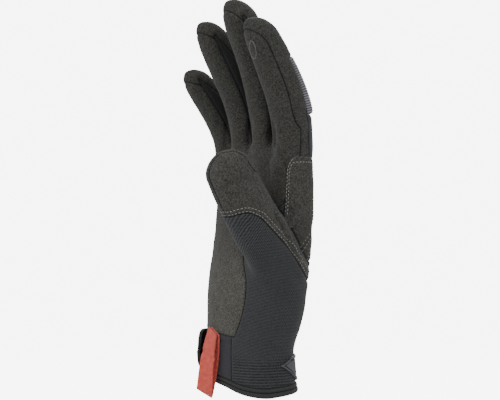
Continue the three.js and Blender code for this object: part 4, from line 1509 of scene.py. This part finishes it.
def path_distance(points: Array, path: Array) -> tuple[Array, Array]:
    """Distance from points to a path, and the share of its length at the nearest point.

    For each straight part from a to b, t = (p - a).(b - a) / |b - a|^2 held from 0 to 1.

    Args:
        points: places in two dimensions.
        path: the path's corners.

    Returns:
        The distances and the shares.
    """
    a, b = path[:-1], path[1:]
    ways = b - a
    lengths = np.linalg.norm(ways, axis=1)
    starts = np.r_[0, np.cumsum(lengths)[:-1]]
    t = np.einsum("npk,pk->np", points[:, None] - a, ways) / lengths**2
    t = np.clip(t, 0, 1)
    away = np.linalg.norm(points[:, None] - a - t[..., None] * ways, axis=2)
    best = away.argmin(1)
    rows = np.arange(len(points))
    return away[rows, best], (starts + t * lengths)[rows, best] / lengths.sum()


# ---- Trim ------------------------------------------------------------------------------


@dataclass
class KnuckleRibs:
    """The ribbed flex panels over the middle knuckles."""

    pitch: float = 1.45
    rise: float = 0.55
    bulge: float = 1.75
    lean: float = 0.35
    crown: float = 0.6
    edge_fade: float = 1.2

    def build(self, tube: Tube, wardrobe: Wardrobe) -> None:
        """One panel: rounded ribs |sin| across it, on a swell sin(pi s^lean) over the knuckle.

        Args:
            tube: the finger.
            wardrobe: the materials made so far.
        """
        start, end = RIB_START * tube.length, RIB_END * tube.length
        count = round((end - start) / self.pitch)
        s, t = np.meshgrid(np.linspace(0, 1, count * 8 + 1), np.linspace(-1, 1, 49), indexing="ij")
        edge = np.minimum(np.minimum(s, 1 - s) * (end - start), (1 - np.abs(t)) * 10)
        wave = np.abs(np.sin(math.pi * count * s)) ** 0.7
        swell = self.bulge * np.sin(math.pi * s**self.lean) * (1 - self.crown * t * t)
        out = (swell + self.rise * wave) * step_up(edge, 0, self.edge_fade) + groove(edge)
        along = start + (end - start) * s
        points = tube.point(along, 90 - RIB_ARC * t, out)
        faces = grid_faces(*s.shape)[:, ::-1]
        piece = make_mesh(f"{tube.name}_ribbed_panel", points.reshape(-1, 3), faces)
        set_attribute(piece, "seam", edge.ravel())
        # painted shade: the valleys between ribs, darkened through the rubber's colour
        set_attribute(piece, "valley_shade", (1 - wave.ravel()) ** 0.7)
        thicken(piece, WALL)
        settle(piece, Finish.RIBS, wardrobe, (f"{tube.name}_knuckle_ribs",))


@dataclass
class Hem:
    """The rolled binding round the cuff, with a groove above and a stitched groove below."""

    stitch: float = 2.0
    gap: float = 1.3
    thread: float = 0.55
    profile: Rows = (
        (0.35, -1.7), (-0.05, -1.2), (-0.15, -0.5), (0.0, 0.35), (0.4, 0.85), (1.1, 1.1),
        (1.9, 1.1), (2.6, 0.9), (3.05, 0.5), (3.3, 0.1), (3.5, 0.1), (3.75, 0.5), (4.2, 0.75),
        (4.9, 0.8), (5.5, 0.55), (5.8, 0.1), (6.1, -0.2), (6.5, -0.35), (6.6, -0.9), (6.4, -1.6),
        (5.4, -1.8), (3.0, -1.9), (1.2, -1.9),
    )
    dashes: float = 3.4
    upper_fold: float = 6.15

    def build(self, wardrobe: Wardrobe) -> None:
        """Carry the profile of (height, out) round the wrist.

        Args:
            wardrobe: the materials made so far.
        """
        profile = np.array(self.profile)
        angle, which = np.meshgrid(
            np.arange(0, 360, 1.5), np.arange(len(profile)), indexing="ij"
        )
        points = PALM.point(profile[which, 0], angle, profile[which, 1])
        faces = grid_faces(*angle.shape, closed_rows=True, closed_columns=True)[:, ::-1]
        piece = make_mesh("rolled_hem", points.reshape(-1, 3), faces)
        folds = np.abs(profile[:, :1] - (self.dashes, self.upper_fold)).min(1)
        set_attribute(piece, "seam", np.tile(folds, len(angle)))
        bevel = piece.modifiers.new("round", "SUBSURF")
        bevel.levels = bevel.render_levels = 1
        settle(piece, Finish.HEM, wardrobe, ("cuff_hem",))
        around = np.arange(0, 360, 1.0)
        path, outer = (PALM.point(self.dashes, around, grow) for grow in (0.3, 2.0))
        line = [(path, unit(outer - path))]
        thread = Stitches(self.stitch, self.gap, self.thread)
        thread.build("hem_stitches", line, Finish.DARK_THREAD, "hem_binding", wardrobe, True)


@dataclass
class Stitches:
    """Rows of short raised stitches along paths on the skin."""

    length: float = 1.45
    gap: float = 0.85
    thickness: float = 0.42
    sink: float = 0.08

    def build(self, name: str, paths: Sequence[tuple[Array, Array]], finish: Finish, slot: str,
              wardrobe: Wardrobe, closed: bool = False) -> None:
        """Lay stitches at even steps along each path.

        Args:
            name: the piece's name.
            paths: points and outward directions of each path, in mm.
            finish: the thread.
            slot: not used.
            wardrobe: the materials made so far.
            closed: whether each path runs back to its start.
        """
        parts = []
        for points, out in paths:
            if closed:
                points, out = np.vstack([points, points[:1]]), np.vstack([out, out[:1]])
            lengths = np.r_[0, np.cumsum(np.linalg.norm(np.diff(points, axis=0), axis=1))]
            count = max(int(lengths[-1] / (self.length + self.gap)), 1)
            middle = (np.arange(count) + 0.5) * lengths[-1] / count
            at = [np.stack([np.interp(middle + shift, lengths, a[:, k]) for k in range(3)], 1)
                  for shift in (-self.length / 2, self.length / 2) for a in (points, out)]
            parts.append(self.capsules(*at))
        points, faces = joined(parts)
        piece = make_mesh(name, points, faces)
        without_seams(piece)
        settle(piece, finish, wardrobe)

    def capsules(
        self, start: Array, start_out: Array, end: Array, end_out: Array
    ) -> tuple[Array, Array]:
        """A low pod for each stitch: six rings of six points, bowed out between its ends.

        Ring i lies at the share (1 - cos(pi i/5))/2 of the way and has the radius
        sin(pi i/5)^0.5 of the thread's, and its middle rises by the same sine.

        Args:
            start: where each stitch starts.
            start_out: the outward direction there.
            end: where each ends.
            end_out: the outward direction there.

        Returns:
            The vertices and triangles of all of them.
        """
        rings, sides = 6, 6
        turn = np.linspace(0, math.pi, rings)
        share = (1 - np.cos(turn)) / 2
        swell = np.maximum(np.sin(turn), 0.02) ** 0.5
        ahead = unit(end - start)
        out = unit(start_out + end_out)
        aside = unit(np.cross(ahead, out))
        round_it = np.arange(sides) * 2 * math.pi / sides
        middle = start[:, None] + (end - start)[:, None] * share[None, :, None]
        bow = self.thickness * 0.45 * np.sin(turn) - self.sink
        middle = middle + out[:, None] * bow[None, :, None]
        ring = (
            np.cos(round_it)[None, None, :, None] * aside[:, None, None]
            + np.sin(round_it)[None, None, :, None] * out[:, None, None]
        ) * (swell * self.thickness / 2)[None, :, None, None]
        points = (middle[:, :, None] + ring).reshape(-1, 3)
        quads = grid_faces(rings, sides, closed_columns=True)
        fan = np.array([[0, 1, 2], [0, 2, 3], [0, 3, 4], [0, 4, 5]])
        ends = np.vstack([fan[:, [0, 2, 1]], fan + (rings - 1) * sides])
        triangles = np.vstack([quads[:, [0, 1, 2]], quads[:, [0, 2, 3]], ends])
        every = (np.arange(len(start)) * rings * sides)[:, None, None] + triangles[None]
        return points, every.reshape(-1, 3)


def traced(sheet: Sheet, values: Array) -> list[tuple[Array, Array]]:
    """The lines on a sheet where a value is zero, as chains of points and outward normals.

    Args:
        sheet: the part of the skin.
        values: one number for each of its points.

    Returns:
        The points and outward directions of each chain, short scraps left out.
    """
    _, _, points, pairs = sheet.cut(values)
    links: dict[int, list[int]] = {}
    for a, b in pairs.tolist():
        links.setdefault(a, []).append(b)
        links.setdefault(b, []).append(a)
    left, chains = set(links), []
    ends = [k for k, v in links.items() if len(v) == 1]
    while left:
        start = next((k for k in ends if k in left), None)
        at = start if start is not None else next(iter(left))
        chain = []
        while at is not None:
            chain.append(at)
            left.discard(at)
            at = next((k for k in links[at] if k in left), None)
        if len(chain) > 8:
            chains.append((points[chain, :3], points[chain, 3:]))
    return chains


@dataclass
class Strap:
    """The black closure strap round the little-finger side, its free end standing off."""

    width: float = 25.5
    thickness: float = 2.2
    lift: float = 2.4
    bottom: float = 13.4
    free_end: float = -127.0
    sewn_end: float = -250.0
    proud: float = 1.2
    corner: float = 12.0
    cuff_radius: float = 30.0
    foot_flare: float = 0.6

    def build(self, wardrobe: Wardrobe) -> None:
        """A sheet round the cuff whose free end lifts by (1 - 3.5 s)^1.5 and has round corners.

        Args:
            wardrobe: the materials made so far.
        """
        s, v = np.meshgrid(np.linspace(0, 1, 90), np.linspace(0, 1, 25), indexing="ij")
        angle = self.free_end + (self.sewn_end - self.free_end) * s
        reach = s * abs(self.sewn_end - self.free_end) / 180 * math.pi * self.cuff_radius
        short = np.maximum(self.corner - reach, 0)
        inset = self.corner - np.sqrt(np.maximum(self.corner**2 - short**2, 0))
        up = self.bottom + inset + (self.width - 2 * inset) * v
        lift = self.lift * np.maximum(0, 1 - s * 3.5) ** 1.5
        flare = self.foot_flare * (1 - v) * (lift > 0)
        outer = PALM.point(up, angle, self.proud + self.thickness + lift + flare)
        outer[..., 2] = up
        piece = make_mesh("wrist_strap", outer.reshape(-1, 3), grid_faces(*s.shape))
        without_seams(piece)
        thicken(piece, self.thickness)
        soften(piece, 0.55)
        settle(piece, Finish.STRAP, wardrobe, ("closure_strap",))


@dataclass
class PullLoop:
    """The red ribbon loop below the heel: down, round the fold and up again."""

    width: float = 10.4
    thickness: float = 1.2
    length: float = 37.0
    spread: float = 3.2
    up: float = 0.245
    angle: float = -95.0
    swing: float = 6.5
    twist: float = 48.0
    tilt: float = 28.0
    skew: float = 0.4
    crease_at: float = 0.42
    crease_width: float = 0.04
    crease_depth: float = 0.9

    def build(self, wardrobe: Wardrobe) -> None:
        """Carry the ribbon's width along a path of two layers joined by a half turn.

        Args:
            wardrobe: the materials made so far.
        """
        half = self.thickness / 2
        turn = math.radians(self.angle)
        normal = np.array([math.cos(turn), math.sin(turn), 0.0])
        top = PALM.point(self.up * WEB_HEIGHT, self.angle, half + 0.3)
        bottom = top + normal * self.swing - np.array([0, 0, self.length])
        down = unit(bottom - top)
        s = np.r_[np.linspace(0, 1, 40), np.ones(12), np.linspace(1, 0, 40)]
        bend = np.r_[np.zeros(40), np.linspace(0, math.pi, 14)[1:-1], np.full(40, math.pi)]
        spin = np.radians(self.twist * s)
        across = np.stack([
            -normal[1] * np.cos(spin) - normal[0] * np.sin(spin),
            normal[0] * np.cos(spin) - normal[1] * np.sin(spin),
            -np.tan(np.radians(self.tilt * (0.6 + 0.4 * s))),
        ], 1)
        across = unit(across - down * (across @ down)[:, None])
        away = unit(np.cross(down, across))
        spread = half + 0.3 + self.spread / 2 * np.sin(0.8 * math.pi * s)
        out = away * np.cos(bend)[:, None] + down * np.sin(bend)[:, None]
        middle = top + (bottom - top) * s[:, None] + normal * (half + 0.3) + out * spread[:, None]
        across_share = np.linspace(-1, 1, 9)
        reach = (across_share * self.width / 2)[None, :, None]
        points = middle[:, None] + (across[:, None] + down * self.skew) * reach
        crease = self.crease_depth * bell(s - self.crease_at, self.crease_width) * (bend == 0)
        points = points - out[:, None] * crease[:, None, None]
        faces = grid_faces(*points.shape[:2])
        piece = make_mesh("red_pull_loop", points.reshape(-1, 3), faces)
        run = np.r_[0, np.cumsum(np.linalg.norm(np.diff(middle, axis=0), axis=1))]
        set_uv(piece, np.tile(across_share * self.width / 2, len(s)), np.repeat(run, 9))
        without_seams(piece)
        thicken(piece, self.thickness, 0.0)
        soften(piece, 0.25)
        settle(piece, Finish.WEBBING, wardrobe, ("pull_loop",))


@dataclass
class Badge:
    """A blank rubber shield with a raised rim on the back of the cuff."""

    half_width: float = 26.5
    height: float = 16.5
    thickness: float = 0.6
    rim: float = 2.3
    rim_rise: float = 0.45
    up: float = 0.102
    angle: float = 54.0
    base: float = 0.5
    sink: float = 0.35
    cuff_radius: float = 28.5
    wall: float = 1.0
    outline: Rows = ((-1, 0.35), (0.4, 1.0), (1, 0.55))

    def build(self, wardrobe: Wardrobe) -> None:
        """A grid (v up, u across) whose half width follows the outline, raised near its edge.

        Args:
            wardrobe: the materials made so far.
        """
        level = self.up * WEB_HEIGHT
        rows = np.array(self.outline)
        v = np.linspace(-1, 1, 90)
        half = np.interp(v, *rows.T) * self.half_width
        u = np.linspace(-1, 1, 160)
        place_v, place_u = np.meshgrid(v, u, indexing="ij")
        reach = half[:, None] * place_u
        side = (half[:, None] - np.abs(reach)) * 0.8
        edge = np.minimum(side, (1 - np.abs(place_v)) * self.height / 2)
        rim = step_up(edge, 0.0, 0.6) - step_up(edge, self.rim - 0.7, self.rim)
        out = self.base + self.thickness * step_up(edge, 0.0, 0.5) + self.rim_rise * rim
        out = out - 0.35 * bell(edge - self.rim, 0.5) - self.sink
        angle = self.angle + np.degrees(reach / self.cuff_radius)
        points = PALM.point(level + place_v * self.height / 2, angle, out)
        piece = make_mesh("blank_badge", points.reshape(-1, 3), grid_faces(*place_v.shape))
        set_attribute(piece, "seam", edge.ravel())
        # painted shade: the groove inside the rim, darkened through the rubber's colour
        set_attribute(piece, "valley_shade", bell(edge - self.rim, 0.65).ravel())
        thicken(piece, self.wall)
        settle(piece, Finish.RUBBER, wardrobe, ("wrist_badge",))


@dataclass
class SaddlePatch:
    """The reinforcement over the base of the index finger, laid on the skin under it."""

    thickness: float = 1.0
    bottom: float = 0.675
    top: float = 0.955
    low: float = -30.0
    high: float = 32.0
    corner: float = 10.0
    rows: tuple[float, float] = (1.2, 3.6)
    right_row: float = 2.2
    run_in: float = 1.6
    wall: float = 0.9
    right_corner: float = 6.0
    thumb_clear: tuple[float, float] = (1.04, 12.0)
    hand_reach: tuple[float, float] = (1.3, 20.0)
    round_over: float = 0.9
    padding: tuple[float, float, float] = (0.25, 2.0, 9.0)
    quilting: tuple[float, float, float] = (0.28, 2.4, 1.0)
    lie: float = 0.08
    low_fade: float = 7.0

    def depths(self, sheet: Sheet) -> Array:
        """Signed mm inside the outline, from its left and top, its right and its lower edge.

        Args:
            sheet: the skin.

        Returns:
            Three columns, one row for each point.
        """
        place = PALM.locate(sheet.points)
        reach = np.radians(place.radius)
        left = wrapped(place.angle - self.low) * reach
        right = wrapped(self.high - place.angle) * reach
        top = self.top * WEB_HEIGHT - sheet.points[:, 2]
        bottom = sheet.points[:, 2] - self.bottom * WEB_HEIGHT
        clear, scale = self.thumb_clear
        thumb = (THUMB.locate(sheet.points).share - clear) * scale
        limit, reach_scale = self.hand_reach
        corner = rounded(left, top, self.corner)
        bound = np.minimum.reduce([bottom, (limit - place.share) * reach_scale, thumb])
        return np.stack([corner, rounded(right, top, self.right_corner), bound], 1)

    def build(self, skin: Skin, wardrobe: Wardrobe) -> None:
        """Copy the skin inside the outline, raise it and round its edge over.

        Args:
            skin: the skin with its panels.
            wardrobe: the materials made so far.
        """
        depths = self.depths(skin.sheet)
        sheet = skin.sheet.measured(depths).over(depths.min(1))
        edge = sheet.fields.min(1)
        base = skin.relief(sheet, np.full(len(edge), 30.0))
        sides = np.minimum(sheet.fields[:, 0], sheet.fields[:, 1])
        out = self.thickness * np.sqrt(np.clip(sides / self.round_over, 0, 1))
        out += self.padding[0] * step_up(edge, *self.padding[1:])
        out -= self.quilting[0] * bell(sides - self.quilting[1], self.quilting[2])
        out = base + self.lie + out * step_up(sheet.fields[:, 2], 0, self.low_fade)
        raised = sheet.raised(out)
        piece = make_mesh("saddle_patch_skin", raised.points, raised.faces)
        set_attribute(piece, "seam", sides + 0.25)
        thicken(piece, self.wall)
        settle(piece, Finish.THUMB_SUEDE, wardrobe, ("saddle_patch",))
        left, right, low = raised.fields.T
        inner = raised.over(np.minimum(right, low) - self.run_in)
        side = raised.over(np.minimum(left - self.rows[1], low) - self.run_in)
        paths = [line for row in self.rows for line in traced(inner, inner.fields[:, 0] - row)]
        paths += traced(side, side.fields[:, 1] - self.right_row)
        Stitches().build("patch_stitches", paths, Finish.THREAD, "suede", wardrobe)


def evened(values: Array) -> Array:
    """Average over seven steps, with the ends held."""
    return np.convolve(np.pad(values, 3, mode="edge"), np.ones(7) / 7, mode="valid")


def projected(sheet: Sheet, path: Rows | Array) -> tuple[Array, Array]:
    """Lay a path of (right, up), seen from the thumb side quarter, on a sheet.

    The nearest facing point gives the depth towards the eye and the normal at every half
    millimetre, both averaged over seven steps.

    Args:
        sheet: the part of the skin.
        path: the path's corners.

    Returns:
        The points of the path on the skin, and the outward directions there.
    """
    rows = np.array(path, float)
    run = np.r_[0, np.cumsum(np.linalg.norm(np.diff(rows, axis=0), axis=1))]
    at = np.arange(0, run[-1], 0.5)
    flat = np.stack([np.interp(at, run, rows[:, k]) for k in range(2)], 1)
    facing = sheet.normals @ TOWARDS > 0.05
    points, normals = sheet.points[facing], sheet.normals[facing]
    seen = np.stack([(points - VIEW_MIDDLE) @ RIGHT, points[:, 2]], 1)
    nearest = ((flat[:, None] - seen[None]) ** 2).sum(2).argmin(1)
    depth = evened((points[nearest] - VIEW_MIDDLE) @ TOWARDS)
    out = unit(np.stack([evened(normals[nearest, k]) for k in range(3)], 1))
    laid = VIEW_MIDDLE + flat[:, :1] * RIGHT + depth[:, None] * TOWARDS
    laid[:, 2] = flat[:, 1]
    return laid, out


@dataclass
class Piping:
    """A low round ridge along a path."""

    radius: float = 0.3
    sides: int = 6

    def mesh(self, points: Array, out: Array) -> tuple[Array, Array]:
        """A tube along the points: centre + r (cos a across + sin a out).

        Args:
            points: the middle line.
            out: the outward direction at each of its points.

        Returns:
            The vertices and triangles.
        """
        ahead = unit(np.gradient(points, axis=0))
        across = unit(np.cross(ahead, out))
        turn = np.arange(self.sides) * 2 * math.pi / self.sides
        c, s = np.cos(turn)[None, :, None], np.sin(turn)[None, :, None]
        rings = points[:, None] + self.radius * (c * across[:, None] + s * out[:, None])
        return capped(rings[:, ::-1])


@dataclass
class SeamTrim:
    """The stitches along the thumb's seam and the V, and the oval ridge on the index pad."""

    thumb_rows: tuple[float, ...] = (0.9, 3.1)
    thumb_run_in: float = 0.8
    index_edge: float = 22.0
    oval_middle: tuple[float, float] = (1.9, 214.6)
    oval_half: tuple[float, float] = (1.7, 5.3)
    oval_slant: float = 1.0
    ridge: float = 0.4

    def build(self, skin: Skin, wardrobe: Wardrobe) -> None:
        """Make the three pieces in turn.

        Args:
            skin: the skin with its panels.
            wardrobe: the materials made so far.
        """
        self.thumb(skin, wardrobe)
        lines = [projected(skin.raised("index_side_panel"), path) for path in skin.v_lines]
        Stitches().build("v_stitches", lines, Finish.THREAD, "suede", wardrobe)
        self.oval(skin, wardrobe)

    def thumb(self, skin: Skin, wardrobe: Wardrobe) -> None:
        """Lay rows of stitches at even distances above the thumb's slanting seam.

        Args:
            skin: the skin with its panels.
            wardrobe: the materials made so far.
        """
        paths = []
        for name in ("thumb_back", "thumb_front"):
            points = skin.panels[name].points
            inside = (skin.thumb_reach - THUMB.locate(points).share) * skin.thumb_scale
            depths = np.stack([skin.above_thumb_seam(points), inside], 1)
            inner = skin.raised(name).measured(depths).over(inside - self.thumb_run_in)
            for row in self.thumb_rows:
                paths += traced(inner, inner.fields[:, 0] - row)
        Stitches().build("thumb_stitches", paths, Finish.THREAD, "suede", wardrobe)

    def oval(self, skin: Skin, wardrobe: Wardrobe) -> None:
        """Lay a slanting oval, (a cos t - c sin t, b sin t), as a ridge on the index pad.

        Args:
            skin: the skin with its panels.
            wardrobe: the materials made so far.
        """
        edge = skin.panels["palm_panel"].points[:, 0] - self.index_edge
        turn = np.linspace(0, 2 * math.pi, 40)
        across = self.oval_half[0] * np.cos(turn) - self.oval_slant * np.sin(turn)
        path = np.stack([across, self.oval_half[1] * np.sin(turn)], 1) + self.oval_middle
        line, out = projected(skin.raised("palm_panel").over(edge), path)
        piece = make_mesh("fingertip_oval", *Piping(self.ridge).mesh(line, out))
        without_seams(piece)
        settle(piece, Finish.OVAL, wardrobe)


# ---- Stage -----------------------------------------------------------------------------


@dataclass(frozen=True)
class Lamp:
    """A soft square light: its place and width in metres and its power in watts."""

    name: str
    place: Spot
    width: float
    power: float


@dataclass
class Studio:
    """A white floor that rises into a dome all round, soft light and the camera, in metres."""

    glow: float = 6.5
    sky: float = 0.62
    floor: float = -0.14
    disc: tuple[float, ...] = (0.001, 1.0, 2.0)
    rise: float = 1.0
    crown: Rows = ((3.0, 2.4), (1.8, 3.6), (0.001, 4.0))
    lamps: tuple[Lamp, ...] = (
        Lamp("key", (0.25, -1.3, 0.9), 1.1, 11),
        Lamp("fill", (1.4, 0.2, 0.5), 1.2, 5),
        Lamp("rim", (-0.6, 0.9, 0.9), 0.8, 7),
    )
    lit: Spot = (0, 0, 0.12)
    camera: Spot = (0.7551, -0.4915, 0.123)
    target: Spot = (0, -0.0013, 0.123)
    lens: float = 101.25
    sensor: float = 36.0

    def build(self) -> None:
        """Make the dome, the even light of the sky, the lamps and the camera."""
        self.dome()
        world = bpy.data.worlds.new("studio")
        bpy.context.scene.world = world
        world.use_nodes = True
        background = world.node_tree.nodes["Background"]
        background.inputs[0].default_value = (1, 1, 1, 1)
        background.inputs[1].default_value = self.sky
        for lamp in self.lamps:
            data = bpy.data.lights.new(lamp.name, "AREA")
            data.size, data.energy = lamp.width, lamp.power
            aim(placed(lamp.name, data), lamp.place, self.lit)
        data = bpy.data.cameras.new("camera")
        data.sensor_width, data.lens = self.sensor, self.lens
        camera = placed("camera", data)
        aim(camera, self.camera, self.target)
        bpy.context.scene.camera = camera

    def dome(self) -> None:
        """Turn a profile of (radius, level): a flat floor, a quarter circle and a closed top."""
        white = Shader("studio_white")
        white.set(Base_Color=(0.95, 0.95, 0.95, 1), Roughness=0.9, Specular_IOR_Level=0.0)
        white.set(Emission_Color=(1, 1, 1, 1), Emission_Strength=self.glow)
        bend = np.radians(np.linspace(0, 90, 12))
        disc, crown = np.array(self.disc), np.array(self.crown)
        radius = np.r_[disc, disc[-1] + self.rise * np.sin(bend), crown[:, 0]]
        curve = self.floor + self.rise * (1 - np.cos(bend))
        level = np.r_[np.full_like(disc, self.floor), curve, crown[:, 1]]
        turn = np.radians(np.arange(0, 360, 12.0))
        points = np.stack([
            radius[:, None] * np.cos(turn), radius[:, None] * np.sin(turn),
            level[:, None] * np.ones_like(turn),
        ], -1)
        faces = grid_faces(len(radius), len(turn), closed_columns=True)[:, ::-1]
        floor = make_mesh("studio_floor", points.reshape(-1, 3) / MM, faces)
        floor.data.materials.append(white.material)
        floor.visible_diffuse = floor.visible_glossy = floor.visible_shadow = False


def aim(made: bpy.types.Object, place: Spot, target: Spot) -> None:
    """Put a lamp or camera at a place and turn it to a target."""
    made.location = place
    made.rotation_euler = (Vector(target) - made.location).to_track_quat("-Z", "Y").to_euler()


def main() -> None:
    """Build the glove piece by piece, then its stage."""
    logging.basicConfig(level=logging.INFO, format="%(message)s")
    wardrobe = Wardrobe()
    skin = Skin()
    skin.build()
    skin.dress(wardrobe)
    ribs = KnuckleRibs()
    for tube in FINGERS:
        ribs.build(tube, wardrobe)
    SaddlePatch().build(skin, wardrobe)
    SeamTrim().build(skin, wardrobe)
    Hem().build(wardrobe)
    Strap().build(wardrobe)
    PullLoop().build(wardrobe)
    Badge().build(wardrobe)
    Studio().build()


if __name__ == "__main__":
    main()
